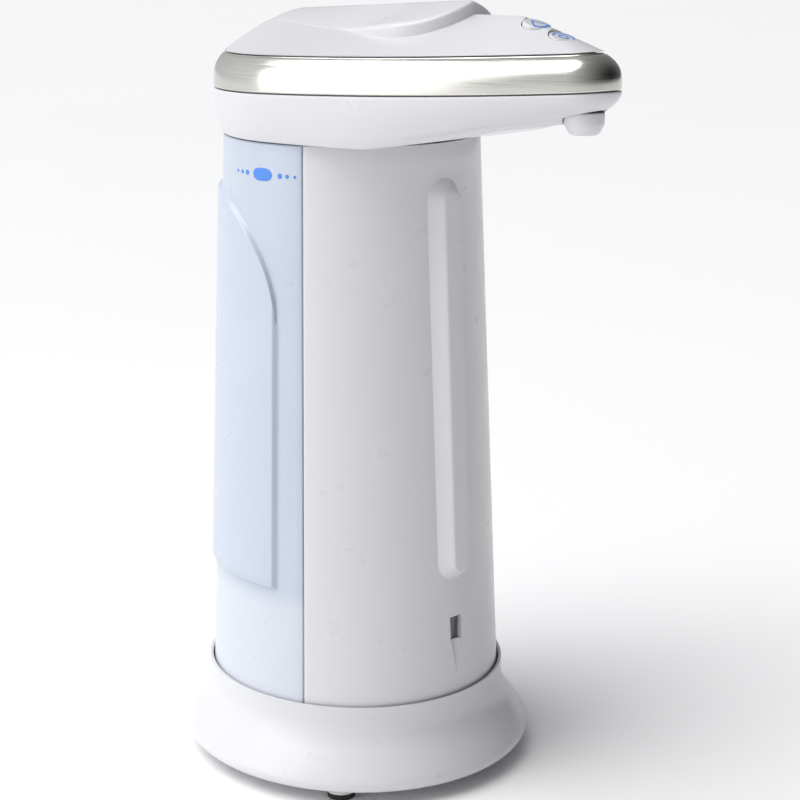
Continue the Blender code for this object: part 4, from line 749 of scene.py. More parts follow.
def board_look():
    """Green lacquered board with copper tracks under the lacquer."""
    look = Look("board", 0.35, coat=0.4)
    tracks = look.tree.nodes.new("ShaderNodeTexBrick")
    tracks.inputs["Scale"].default_value = 420.0
    tracks.inputs["Mortar Size"].default_value = 0.03
    for socket, colour in (("Color1", (0.012, 0.16, 0.06, 1)), ("Color2", (0.016, 0.19, 0.075, 1)),
                           ("Mortar", (0.10, 0.33, 0.10, 1))):
        tracks.inputs[socket].default_value = colour
    look.link(look.stretched((1, 1, 1)), tracks.inputs["Vector"])
    look.colour(tracks.outputs["Color"])
    look.rough(look.span(look.noise(160.0), 0.3, 0.7, 0.3, 0.42))
    look.bump(tracks.outputs["Fac"], 0.1, 0.00004)
    return look.material


def make_looks(scene):
    """Every finish by its slot's name."""
    colours = scene.dispenser_finish
    looks = {
        "white_plastic": moulded("white_plastic", tuple(colours.white), 0.3, coat=0.2, grain=400.0,
                                 strength=0.012, spread=0.006).material,
        "tank_plastic": tank_look(colours),
        "satin_metal": metal("satin_metal", tuple(colours.band), 0.2, (0.15, 0.15, 9.0), 420.0,
                             0.05).material,
        "black_rubber": moulded("black_rubber", tuple(colours.rubber), 0.75, grain=500.0,
                                strength=0.25,
                                spread=0.2).material,
        "silicone": moulded("silicone", (0.72, 0.73, 0.71), 0.42, spread=0.03).material,
        "steel": metal("steel", (0.56, 0.56, 0.57), 0.3, (1, 1, 0.2), 500.0, 0.12).material,
        "brass": metal("brass", (0.7, 0.5, 0.2), 0.28, (1, 1, 0.3), 600.0, 0.1).material,
        "acetal": moulded("acetal", (0.68, 0.68, 0.63), 0.4, spread=0.04).material,
        "smoked_plastic": moulded("smoked_plastic", (0.10, 0.085, 0.095), 0.14, coat=0.6,
                                  strength=0.01,
                                  spread=0.3).material,
        "board": board_look(),
        "cell_wrap": cell_look(),
        "black_plastic": moulded("black_plastic", (0.02, 0.02, 0.023), 0.42, spread=0.15).material,
        "print_ink": moulded("print_ink", tuple(colours.print_blue), 0.4, strength=0.1,
                             spread=0.05).material,
    }
    return looks


LOOKS = {}


def look_for(context, name):
    """The finish of that name, all of them made on the first call."""
    if not LOOKS:
        LOOKS.update(make_looks(context.scene))
    return LOOKS[name]


# ---------------------------------------------------------------- foot

def foot_profile(form):
    """The skirt's section, from under the deck, down inside, round the rim and up to the collar."""
    collar = form.column_half(form.foot_deck_z)[0] + form.column_gap
    rim = form.foot_half_x
    outside = [(rim - 1.8 * MM, form.foot_rim_z), (rim - 1.1 * MM, 3.9 * MM),
               (rim - 0.3 * MM, 4.7 * MM),
               (rim, 5.7 * MM), (rim - 0.3 * MM, 6.8 * MM), (rim - 1.1 * MM, 8.2 * MM),
               (rim - 2.3 * MM, 10.0 * MM), (rim - 3.7 * MM, 12.0 * MM),
               (rim - 5.2 * MM, 14.2 * MM),
               (collar + 1.1 * MM, 16.6 * MM), (collar + 0.7 * MM, 19.0 * MM),
               (collar + 0.7 * MM, form.column_foot_z)]
    inside = [(0.0, form.foot_deck_z - 1.8 * MM), (rim - 8.4 * MM, form.foot_deck_z - 1.8 * MM),
              (rim - 8.1 * MM, 16.0 * MM), (rim - 7.2 * MM, 13.6 * MM), (rim - 5.7 * MM, 11.4 * MM),
              (rim - 4.1 * MM, 9.6 * MM), (rim - 3.0 * MM, 7.8 * MM), (rim - 2.6 * MM, 6.6 * MM),
              (rim - 2.6 * MM, form.foot_rim_z)]
    top = [(collar, form.column_foot_z - 0.1 * MM), (collar, form.foot_deck_z),
           (0.0, form.foot_deck_z)]
    return inside + smooth_line(outside, 5) + top


def smooth_line(points, steps):
    """Points along a Catmull-Rom curve through (r, z) points."""
    knots = [Vector(p) for p in points]
    ends = [knots[0] * 2 - knots[1]] + knots + [knots[-1] * 2 - knots[-2]]
    path = []
    for a, b, c, d in zip(ends, ends[1:], ends[2:], ends[3:]):
        for i in range(steps):
            s = i / steps
            path.append(tuple(0.5 * (2 * b + (c - a) * s + (2 * a - 5 * b + 4 * c - d) * s * s
                                     + (3 * b - a - 3 * c + d) * s * s * s)))
    path.append(tuple(knots[-1]))
    return path


class DISPENSER_OT_foot(bpy.types.Operator):
    """Turn the flared skirt and the four rubber pads"""
    bl_idname = "dispenser.foot"
    bl_label = "Foot"

    def execute(self, context):
        form = Form(context.scene)
        centre = form.at(0, 0, 0)
        skirt = turned("foot_skirt", list(reversed(foot_profile(form))), centre, form.foot_oval,
                       160, 30.0)
        combine(skirt, rod("wire_hole", form.at(15 * MM, 22 * MM, 15 * MM), Vector((0, 0, 1)),
                           3.4 * MM, 8 * MM, 32),
                "DIFFERENCE")
        outward(skirt)
        settle(skirt, HOUSING, look_for(context, "white_plastic"), "white_plastic", "base_shell")
        for n in range(4):
            low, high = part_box("foot_pad_%d" % (n + 1))
            middle = Vector(((low[0] + high[0]) / 2, (low[1] + high[1]) / 2, 0))
            profile = rounded([(0.0, high[2]), (form.foot_pad_radius, high[2]),
                               (form.foot_pad_radius, low[2]),
                               (form.foot_pad_radius * 0.45, low[2]),
                               (form.foot_pad_radius * 0.4, low[2] + 0.25 * MM),
                               (0.0, low[2] + 0.25 * MM)], 0.35 * MM)
            pad = turned("rubber_pad_%d" % (n + 1), profile, middle, steps=48)
            outward(pad)
            settle(pad, HOUSING, look_for(context, "black_rubber"), "black_rubber",
                   "foot_pad_%d" % (n + 1))
        return {"FINISHED"}


def outward(piece):
    """Point a closed piece's faces outwards."""
    only(piece)
    bpy.ops.object.mode_set(mode="EDIT")
    bpy.ops.mesh.select_all(action="SELECT")
    bpy.ops.mesh.normals_make_consistent(inside=False)
    bpy.ops.object.mode_set(mode="OBJECT")
    return piece


# ---------------------------------------------------------------- column

def edge_rows(low, high, radius, steps=4, middle=24):
    """Heights and insets for a wall whose ends are rounded."""
    corner = [(radius * (1 - math.cos(a)),
               radius * (1 - math.sin(a))) for a in spread(0.0, math.pi / 2, steps + 1)]
    rows = [(low + rise, inset) for rise, inset in corner]
    rows += [(blend(low + radius, high - radius, i / middle), 0.0) for i in range(1, middle)]
    return rows + [(high - rise, inset) for rise, inset in reversed(corner)]


class DISPENSER_OT_cover(bpy.types.Operator):
    """Raise the front cover with its rib, sensor opening and scoop"""
    bl_idname = "dispenser.cover"
    bl_label = "Front cover"

    def execute(self, context):
        form = Form(context.scene)
        cover = self.wall(form)
        front = form.column_half(form.column_window_low)[1]
        half = form.column_window_half
        opening = block("opening", form.at(-half, front + 2 * MM, form.column_window_low),
                        form.at(half, front - 6 * MM, form.column_window_high))
        combine(cover, opening, "DIFFERENCE")
        combine(cover, self.scoop(form), "DIFFERENCE")
        only(cover)
        bpy.ops.object.shade_smooth_by_angle(angle=math.radians(30))
        settle(cover, HOUSING, look_for(context, "white_plastic"), "white_plastic", "column_cover")
        rib = self.rib(form)
        settle(rib, HOUSING, look_for(context, "white_plastic"), "white_plastic")
        window = self.window(form)
        settle(window, HOUSING, look_for(context, "smoked_plastic"), "smoked_plastic",
               "sensor_window")
        return {"FINISHED"}

    def wall(self, form):
        """The cover's U-shaped wall, with rounded seam edges."""
        edge = 0.5 * MM
        steps = 120
        rings = []
        for z, inset in edge_rows(form.column_low_z, form.column_top_z - form.column_gap, 0.2 * MM,
                                  2, 30):
            ring = []
            limit = form.seam_azimuth(z, form.column_gap / 2)
            soft = edge / form.column_half(z)[0]
            for i in range(5):
                a = math.pi / 2 * i / 4
                ring.append(form.column_point(-limit + soft * (1 - math.cos(a)), z,
                                              -inset - edge * (1 - math.sin(a))))
            for i in range(1, steps):
                ring.append(form.column_point(blend(-limit + soft, limit - soft, i / steps), z,
                                              -inset))
            for i in range(5):
                a = math.pi / 2 * (1 - i / 4)
                ring.append(form.column_point(limit - soft * (1 - math.cos(a)), z,
                                              -inset - edge * (1 - math.sin(a))))
            inner = form.seam_azimuth(z, form.column_gap / 2, form.column_cover_wall)
            for i in range(41):
                ring.append(form.column_point(blend(inner, -inner, i / 40), z,
                                              inset - form.column_cover_wall))
            rings.append(ring)
        rings.insert(0, self.ring_middle(form, rings[0]))
        rings.append(self.ring_middle(form, rings[-1]))
        return skin("front_cover", rings, sharp=30.0)

    def ring_middle(self, form, ring):
        """The wall's middle line under a ring, to close the wall's end."""
        made = []
        for p in ring:
            a = math.atan2(p.x,
                           (form.axis_y - p.y) * form.column_half(p.z)[0] / form.column_half(p.z)[1])
            made.append(form.column_point(a, p.z, -form.column_cover_wall / 2))
        return made

    def scoop(self, form):
        """A tapering groove under the window, deepest where it meets it."""
        rings = []
        steps = 14
        for i in range(steps + 1):
            s = i / steps
            z = blend(form.column_scoop_low, form.column_window_low + 0.6 * MM, s)
            surface = form.column_half(z)[1]
            half = blend(0.25 * MM, form.column_window_half, s)
            depth = blend(0.05 * MM, form.column_scoop_depth, s ** 0.8)
            ring = [form.at(half, surface + 3 * MM, z), form.at(-half, surface + 3 * MM, z)]
            for j in range(13):
                u = 1 - 2 * j / 12
                ring.append(form.at(-half * u, surface - depth * (1 - 0.7 * abs(u) ** 1.6), z))
            rings.append(ring)
        rings.insert(0, flat_ring(rings[0]))
        rings.append(flat_ring(rings[-1]))
        return outward(skin("scoop", rings))

    def rib(self, form):
        """The long, round-ended rib down the front line, with a soft crown."""
        rise = form.column_rib_height
        foot = form.column_rib_foot_half
        crown = form.column_rib_crown_half
        slope = (foot - crown) / rise
        section = [(foot + slope * 0.6 * MM, -0.6 * MM), (foot + 0.25 * MM, 0.02 * MM),
                   (foot - 0.2 * MM, 0.3 * MM),
                   (blend(foot, crown, 0.35), rise * 0.35), (blend(foot, crown, 0.7), rise * 0.7),
                   (crown + 0.32 * MM, rise - 0.3 * MM), (crown + 0.05 * MM, rise - 0.06 * MM),
                   (crown - 0.35 * MM, rise),
                   (crown * 0.4, rise + 0.04 * MM), (0.0, rise + 0.05 * MM)]
        rings = []
        steps = 16
        rows = 60
        for half, proud in section:
            ring = []
            top = form.column_rib_high - foot
            low = form.column_rib_low + foot
            for i in range(steps + 1):
                a = math.pi * i / steps
                ring.append((half * math.cos(a), top + half * math.sin(a)))
            for i in range(1, rows):
                ring.append((-half, blend(top, low, i / rows)))
            for i in range(steps + 1):
                a = math.pi + math.pi * i / steps
                ring.append((half * math.cos(a), low + half * math.sin(a)))
            for i in range(1, rows):
                ring.append((half, blend(low, top, i / rows)))
            placed = []
            for x, z in ring:
                half_x, half_y = form.column_half(z)
                bow = half_y * math.sqrt(1 - (x / half_x) ** 2) if proud < 0.5 * MM else half_y
                placed.append(form.at(x, blend(bow, half_y, clamp(proud / MM)) + proud, z))
            rings.append(placed)
        return outward(skin("front_rib", rings, sharp=50.0))

    def window(self, form):
        """Dark glossy window, set back in its opening, with the flange behind it."""
        low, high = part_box("sensor_window")
        inside = form.column_half(form.column_window_high)[1] - form.column_cover_wall
        half = form.column_window_half - 0.15 * MM
        flange = block("window", form.at(-4 * MM, inside - 1.0 * MM, low[2]),
                       form.at(4 * MM, inside - 2.5 * MM, high[2]))
        pane = block("pane", (-half, low[1], form.column_window_low + 0.15 * MM),
                     (half, form.axis_y - inside + 2 * MM, form.column_window_high - 0.15 * MM))
        combine(flange, pane, "UNION")
        flange.name = "sensor_pane"
        return soften(flange, 0.15 * MM, 2)


class DISPENSER_OT_tank(bpy.types.Operator):
    """Raise the tank with the arched panel on its back"""
    bl_idname = "dispenser.tank"
    bl_label = "Tank"

    def execute(self, context):
        form = Form(context.scene)
        tank = self.shell(form)
        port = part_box("inlet_tube")
        middle = Vector((0, 0, (port[0][2] + port[1][2]) / 2))
        start = form.at(0, 8 * MM, middle.z)
        combine(tank, rod("port", start, Vector((0, -1, 0)), 2.3 * MM, 14 * MM, 32), "DIFFERENCE")
        only(tank)
        bpy.ops.object.shade_smooth_by_angle(angle=math.radians(28))
        settle(tank, HOUSING, look_for(context, "tank_plastic"), "tank_plastic", "reservoir")
        return {"FINISHED"}

    def azimuths(self, form, z, setback):
        """The ring's azimuths from seam to seam round the back."""
        start = form.tank_start(z, setback)
        side = form.column_panel_seam
        soft = PANEL_EDGE_SOFT
        half = [blend(start, side - soft, i / 8) for i in range(8)]
        half += [blend(side - soft, side + soft, i / 8) for i in range(8)]
        bend = form.column_panel_bend
        half += [side + soft + bend * (1 - math.cos(math.pi / 2 * i / 44)) for i in range(44)]
        half += [blend(side + soft + bend, math.pi, i / 30) for i in range(30)]
        return half + [math.pi] + [2 * math.pi - a for a in reversed(half)]

    def rise(self, form, azimuth, share):
        """How far the panel stands out: a soft step across its side."""
        soft = PANEL_EDGE_SOFT
        away = min(azimuth, 2 * math.pi - azimuth)
        rise = form.column_panel_rise * smooth((away - form.column_panel_seam + soft) / (2 * soft))
        return rise * share

    def shell(self, form):
        """The hollow tank, from rings that bend with the panel's arch."""
        low = form.column_low_z
        high = form.column_top_z - form.column_gap
        wall = form.column_tank_wall
        step = 0.55 * MM
        rows = []
        for i in range(3):
            rows.append((lambda a, s=i / 2: low + 0.25 * MM * s, 0.0, 0.25 * MM * (1 - i / 2)))
        for i in range(1, 12):
            rows.append((lambda a, s=i / 12: blend(low + 0.25 * MM, form.column_panel_low, s), 0.0,
                         0.0))
        for i in range(7):
            rows.append((lambda a, s=i / 6: form.column_panel_low + 2 * step * s, smooth(i / 6),
                         0.0))
        for i in range(1, 40):
            rows.append((lambda a, s=i / 40: blend(form.column_panel_low + 2 * step,
                                                   form.panel_top(a) - 2 * step, s),
                         1.0, 0.0))
        for i in range(7):
            rows.append((lambda a, s=i / 6: form.panel_top(a) - 2 * step * (1 - s),
                         1 - smooth(i / 6), 0.0))
        for i in range(1, 16):
            rows.append((lambda a, s=i / 16: blend(form.panel_top(a), high - 0.25 * MM, s), 0.0,
                         0.0))
        for i in range(3):
            rows.append((lambda a, s=i / 2: high - 0.25 * MM * (1 - s), 0.0, 0.25 * MM * i / 2))
        rings = [self.ring(form, height, share, inset) for height, share, inset in rows]
        seat = form.column_tank_floor
        inner = [self.ring(form, lambda a, z=z: z, 0.0, wall) for z in (high, 120 * MM, 80 * MM,
                                                                        seat + wall + MM,
                                                                        seat + wall)]
        under = [self.ring(form, lambda a, z=z: z, 0.0, wall) for z in (seat, 35 * MM, low)]
        rings = [flat_ring(under[0])] + under + rings + inner + [flat_ring(inner[-1])]
        return outward(skin("tank", rings, sharp=28.0))

    def ring(self, form, height, share, inset):
        """One D-shaped ring, its corners at the seams softened."""
        ring = []
        side_z = height(form.column_panel_seam)
        for a in self.azimuths(form, side_z, inset):
            z = height(a)
            ring.append(form.column_point(a, z, self.rise(form, a, share) - inset))
        corner = 0.35 * MM
        first, last = ring[0], ring[-1]
        ring[0] = first + Vector((-corner * 0.25, corner * 0.35, 0))
        ring[-1] = last + Vector((corner * 0.25, corner * 0.35, 0))
        flat = []
        for i in range(1, 12):
            flat.append(last.lerp(first, i / 12))
        return ring + [p for p in flat]


# ---------------------------------------------------------------- head

class DISPENSER_OT_head(bpy.types.Operator):
    """Form the lower shell and the bright band"""
    bl_idname = "dispenser.head"
    bl_label = "Head"

    def execute(self, context):
        form = Form(context.scene)
        shell = self.lower_shell(form)
        settle(shell, HOUSING, look_for(context, "white_plastic"), "white_plastic",
               "head_lower_shell")
        band = self.band(form)
        settle(band, HOUSING, look_for(context, "satin_metal"), "satin_metal", "trim_band")
        return {"FINISHED"}

    def lower_shell(self, form):
        """The head's bowl, from its floor up to a lip behind the band."""
        wall = form.head_wall
        gap = form.column_gap
        lip = form.head_band_thick + 1.0 * MM

        def side(share, extra, lift, ease=0.0):
            return form.head_ring(
                lambda f: form.floor_setback(f) * (1 - share) ** 2 + extra,
                lambda f: blend(form.underside(f) + lift, form.band_low(f) - gap, share) + ease)

        def middle(lift, share):
            ring = []
            for p in side(0.0, 0.9 * MM if lift == 0 else wall, lift):
                forward = form.axis_y - p.y
                heart = clamp(forward, -10 * MM, form.head_nose_forward - 6 * MM)
                x = p.x * share
                f = blend(heart, forward, share)
                ring.append(form.at(x, f, form.underside(f) + lift))
            return ring

        rings = [middle(0.0, s) for s in (0.0, 0.25, 0.5, 0.75, 1.0)]
        corner = 0.9 * MM
        for i in range(1, 5):
            a = math.pi / 2 * i / 4
            rings.append(side(0.0, corner * (1 - math.sin(a)), 0.0, corner * (1 - math.cos(a))))
        for i in range(1, 19):
            share = blend(0.1, 1.0, (i / 18))
            rings.append(side(share, 0.0, 0.0, -0.2 * MM * share ** 8))
        rings.append(side(1.0, 0.12 * MM, 0.0, -0.03 * MM))
        rings.append(side(1.0, 0.35 * MM, 0.0))
        middle_z = lambda f: (form.band_low(f) + form.band_high(f)) / 2 - gap
        rings.append(form.head_ring(lambda f: lip, lambda f: form.band_low(f) - gap))
        rings.append(form.head_ring(lambda f: lip, middle_z))
        rings.append(form.head_ring(lambda f: lip + wall * 0.7, middle_z))
        rings.append(form.head_ring(lambda f: lip + wall * 0.7,
                                    lambda f: form.band_low(f) - 1.5 * MM))
        rings += [side(share, wall, wall) for share in (0.55, 0.25, 0.0)]
        rings += [middle(wall, s) for s in (0.5, 0.0)]
        shell = outward(skin("lower_shell", rings, sharp=40.0))
        hole = self.tank_hole(form)
        combine(shell, hole, "DIFFERENCE")
        top = form.column_top_z
        combine(shell, block("tube_slot", (-18 * MM, form.axis_y - 26 * MM, top - 3 * MM),
                             (18 * MM, form.axis_y - 16.6 * MM, top + 5 * MM)), "DIFFERENCE")
        start = form.at(0, form.head_nozzle_forward, form.head_nozzle_tip_z)
        combine(shell, rod("spout_hole", start, Vector((0, 0, 1)), form.head_nozzle_radius + gap,
                           12 * MM, 48),
                "DIFFERENCE")
        only(shell)
        bpy.ops.object.shade_smooth_by_angle(angle=math.radians(40))
        return shell

    def tank_hole(self, form):
        """A cutter that opens the floor over the tank."""
        rings = []
        for z in (form.column_top_z - 3 * MM, form.column_top_z + 5 * MM):
            setback = 3.9 * MM
            start = form.tank_start(z, setback)
            rings.append([form.column_point(blend(start, 2 * math.pi - start, i / 60), z,
                                            -setback) for i in range(61)])
        return outward(skin("tank_hole", [flat_ring(rings[0])] + rings + [flat_ring(rings[1])]))

    def band(self, form):
        """A stave-shaped band with softly rounded edges."""
        thick = form.head_band_thick
        soft = 0.22 * MM

        def ring(share, extra, ease=0.0):
            return form.head_ring(lambda f: form.band_setback(f) * share ** 3.5 + extra,
                                  lambda f: blend(form.band_low(f), form.band_high(f),
                                                  share) + ease)

        rings = [ring(0.0, thick), ring(0.0, soft), ring(0.0, soft * 0.3, soft * 0.3),
                 ring(0.0, 0.0, soft)]
        for i in range(1, 26):
            rings.append(ring(i / 26, 0.0))
        rings += [ring(1.0, 0.0, -soft), ring(1.0, soft * 0.3, -soft * 0.3), ring(1.0, soft),
                  ring(1.0, thick)]
        rings += [ring(s, thick) for s in (0.9, 0.7, 0.4, 0.0)]
        return outward(skin("bright_band", rings, sharp=50.0))


class DISPENSER_OT_dome(bpy.types.Operator):
    """Form the domed top with the lid's pocket, the filler mouth and the key holes"""
    bl_idname = "dispenser.dome"
    bl_label = "Dome"

    def execute(self, context):
        form = Form(context.scene)
        dome = self.shell(form)
        aim, forwards = key_places(form)
        for forward in forwards:
            start = form.at(0, forward, form.dome_z(0, forward)) - aim * 8 * MM
            combine(dome, rod("key_hole", start, aim, form.head_key_radius + form.head_key_gap,
                              12 * MM, 48),
                    "DIFFERENCE")
        gap = form.column_gap
        deck = prism("deck", form, form.tongue(gap + 1.8 * MM, form.lid_pivot_forward - 6.5 * MM),
                     form.lid_deck_z - form.lid_deck_thick, ABOVE_HEAD_Z)
        combine(deck, self.volume(form, 0.35 * MM), "INTERSECT")
        combine(dome, deck, "UNION")
        combine(dome, prism("pocket", form, form.tongue(gap, form.lid_pivot_forward - MM),
                            form.lid_deck_z, ABOVE_HEAD_Z),
                "DIFFERENCE")
        groove_start = form.at(-form.lid_rear_half - gap, form.lid_pivot_forward, form.lid_pivot_z)
        combine(dome,
                rod("groove", groove_start, Vector((1, 0, 0)), form.lid_barrel_radius + 2 * gap,
                          2 * (form.lid_rear_half + gap), 64), "DIFFERENCE")
        combine(dome, prism("mouth", form, form.mouth(1.6 * MM + gap), INSIDE_HEAD_Z,
                            INSIDE_HEAD_Z + 20 * MM), "DIFFERENCE")
        pin_start = form.at(-12.6 * MM, form.lid_pivot_forward, form.lid_pivot_z)
        combine(dome, rod("pin_hole", pin_start, Vector((1, 0, 0)),
                          form.lid_pin_radius + 0.06 * MM, 25.2 * MM, 24),
                "DIFFERENCE")
        only(dome)
        bpy.ops.object.shade_smooth_by_angle(angle=math.radians(32))
        settle(dome, HOUSING, look_for(context, "white_plastic"), "white_plastic", "head_top_shell")
        return {"FINISHED"}

    def shell(self, form):
        """The dome's wall, its edge rounded over and its skirt behind the band."""
        skirt = form.head_band_thick + 0.6 * MM
        gap = form.column_gap
        shares = [0.0, 0.03, 0.07, 0.12] + [0.12 + 0.82 * i / 22 for i in range(1, 23)] + [0.97,
                                                                                           0.99]
        rings = [form.dome_ring(share, 0.0, 0.0) for share in shares]
        rings += [form.dome_ring(1.0, 0.0, -0.12 * MM), form.dome_ring(1.0, 0.0, -0.02 * MM)]
        rings += [form.dome_ring(1.0, 0.12 * MM, 0.0)]

        def skirt_ring(extra, height):
            return form.head_ring(lambda f: form.band_setback(f) + extra, height)
        rings.append(skirt_ring(skirt, lambda f: form.band_high(f) + gap))
        rings.append(skirt_ring(skirt, lambda f: form.band_high(f) - 1.5 * MM))
        rings.append(skirt_ring(skirt + 1.2 * MM, lambda f: form.band_high(f) - 1.5 * MM))
        rings += [form.dome_ring(s, skirt + 1.2 * MM,
                                 form.head_wall) for s in (0.97, 0.85, 0.68, 0.5, 0.3, 0.12, 0.0)]
        rings.reverse()
        return outward(skin("dome", rings, sharp=32.0))

    def volume(self, form, depth):
        """Everything more than this depth under the dome's outer face."""
        rings = [form.dome_ring(s, depth, depth) for s in (1.0, 0.9, 0.8, 0.65, 0.5, 0.35, 0.2,
                                                           0.08, 0.0)]
        foot = form.head_ring(lambda f: form.band_setback(f) + depth, lambda f: INSIDE_HEAD_Z)
        flat = [form.at(0, clamp(form.axis_y - p.y, form.head_ridge_rear, form.head_ridge_front),
                        INSIDE_HEAD_Z)
                for p in foot]
        return outward(skin("volume", [flat, foot] + rings))


def key_places(form):
    """The keys' aim and how far forward each one lies."""
    return form.key_aim(KEY_FORWARDS), KEY_FORWARDS


class DISPENSER_OT_lid(bpy.types.Operator):
    """Form the filler lid with its barrel and lip"""
    bl_idname = "dispenser.lid"
    bl_label = "Filler lid"

    def execute(self, context):
        form = Form(context.scene)
        lid = self.shell(form)
        combine(lid, self.hollow(form), "DIFFERENCE")
        half = form.lid_rear_half - 0.2 * MM
        centre = form.at(-half, form.lid_pivot_forward, form.lid_pivot_z)
        barrel = rod("barrel", centre, Vector((1, 0, 0)), form.lid_barrel_radius, 2 * half, 64)
        combine(barrel, DISPENSER_OT_dome.volume(self, form, 0.12 * MM), "INTERSECT")
        combine(lid, barrel, "UNION")
        combine(lid, rod("bore", centre - Vector((MM, 0, 0)), Vector((1, 0, 0)),
                         form.lid_pin_radius + 0.06 * MM,
                         2 * half + 2 * MM, 24), "DIFFERENCE")
        only(lid)
        bpy.ops.object.shade_smooth_by_angle(angle=math.radians(32))
        settle(lid, "lid", look_for(context, "white_plastic"), "white_plastic", "filler_lid")
        return {"FINISHED"}

    def level(self, form, outline, share, drop, dip, rear):
        """A ring of the lid's plan drawn in by a share, following the lid's top."""
        ring = []
        for x, forward in outline:
            heart = clamp(forward, rear, form.lid_nose_forward)
            fx = x * share
            ff = blend(heart, forward, share)
            proud = smooth((ff - 6 * MM) / (20 * MM))
            ring.append(form.at(fx, ff, form.lid_top(fx, ff) - drop - dip * proud))
        return ring

    def shell(self, form):
        """Rings up the lid's side and over its rounded edge to its ridge."""
        low = form.lid_deck_z + form.column_gap
        outline = form.tongue()
        rear = form.lid_pivot_forward
        bottom = [form.at(x, f, low) for x, f in outline]
        flat = [form.at(0, clamp(f, rear, form.lid_nose_forward), low) for x, f in outline]
        edge = ((1.0, 0.9), (0.997, 0.62), (0.988, 0.38), (0.975, 0.2), (0.955, 0.09), (0.93, 0.02))
        rings = [flat, bottom] + [self.level(form, outline, share, 0.0, dip * MM, rear) for share,
                                  dip in edge]
        rings += [self.level(form, outline, blend(0.9, 0.0, i / 16), 0.0, 0.0,
                             rear) for i in range(17)]
        return outward(skin("lid", rings, sharp=32.0))

    def hollow(self, form):
        """The room under the lid's skin, to be cut out of it."""
        rear = form.lid_pivot_forward + 4.6 * MM
        outline = form.tongue(-form.lid_wall, rear)
        under = form.lid_deck_z + form.column_gap - MM
        low = [form.at(x, f, under) for x, f in outline]
        flat = [form.at(0, clamp(f, rear, form.lid_nose_forward), under) for x, f in outline]
        rings = [flat, low] + [self.level(form, outline, s, form.lid_wall, 0.0, rear)
                               for s in (1.0, 0.85, 0.7, 0.55, 0.4, 0.2, 0.0)]
        return outward(skin("hollow", rings))


class DISPENSER_OT_spout(bpy.types.Operator):
    """Turn the spout's tip"""
    bl_idname = "dispenser.spout"
    bl_label = "Spout"

    def execute(self, context):
        form = Form(context.scene)
        bore, tip = form.head_nozzle_bore, form.head_nozzle_tip_z
        top, radius = form.head_nozzle_top_z, form.head_nozzle_radius
        profile = [(bore, tip + 1.5 * MM), (bore, tip), (form.head_nozzle_tip_radius, tip),
                   (form.head_nozzle_tip_radius + 0.5 * MM, tip + 0.6 * MM),
                   (radius, tip + 2.4 * MM), (radius, top),
                   (bore, top), (bore, tip + 1.5 * MM)]
        spout = turned("spout_tip", rounded(profile, 0.5 * MM, 5),
                       form.at(0, form.head_nozzle_forward, 0), steps=72)
        outward(spout)
        settle(spout, HOUSING, look_for(context, "white_plastic"), "white_plastic", "nozzle")
        return {"FINISHED"}


class DISPENSER_OT_keys(bpy.types.Operator):
    """Round off the two push keys"""
    bl_idname = "dispenser.keys"
    bl_label = "Keys"

    def execute(self, context):
        form = Form(context.scene)
        aim, forwards = key_places(form)
        turn_to = Vector((0, 0, 1)).rotation_difference(aim).to_matrix().to_4x4()
        for node, body, forward in (("power_key", "power_button", forwards[0]),
                                    ("tone_key", "tone_button", forwards[1])):
            top = form.at(0, forward, form.dome_z(0, forward)) - aim * 0.1 * MM
            radius = form.head_key_radius
            profile = rounded([(0.0, 0.0), (radius, 0.0), (radius, -3.4 * MM),
                               (radius + 0.45 * MM, -3.4 * MM),
                               (radius + 0.45 * MM, -4.2 * MM), (0.0, -4.2 * MM)], 0.3 * MM)
            key = turned(node + "_cap", profile, Vector(), steps=64)
            key.data.transform(Matrix.Translation(top) @ turn_to)
            outward(key)
            settle(key, body, look_for(context, "white_plastic"), "white_plastic", node)
        return {"FINISHED"}


# ---------------------------------------------------------------- printed marks

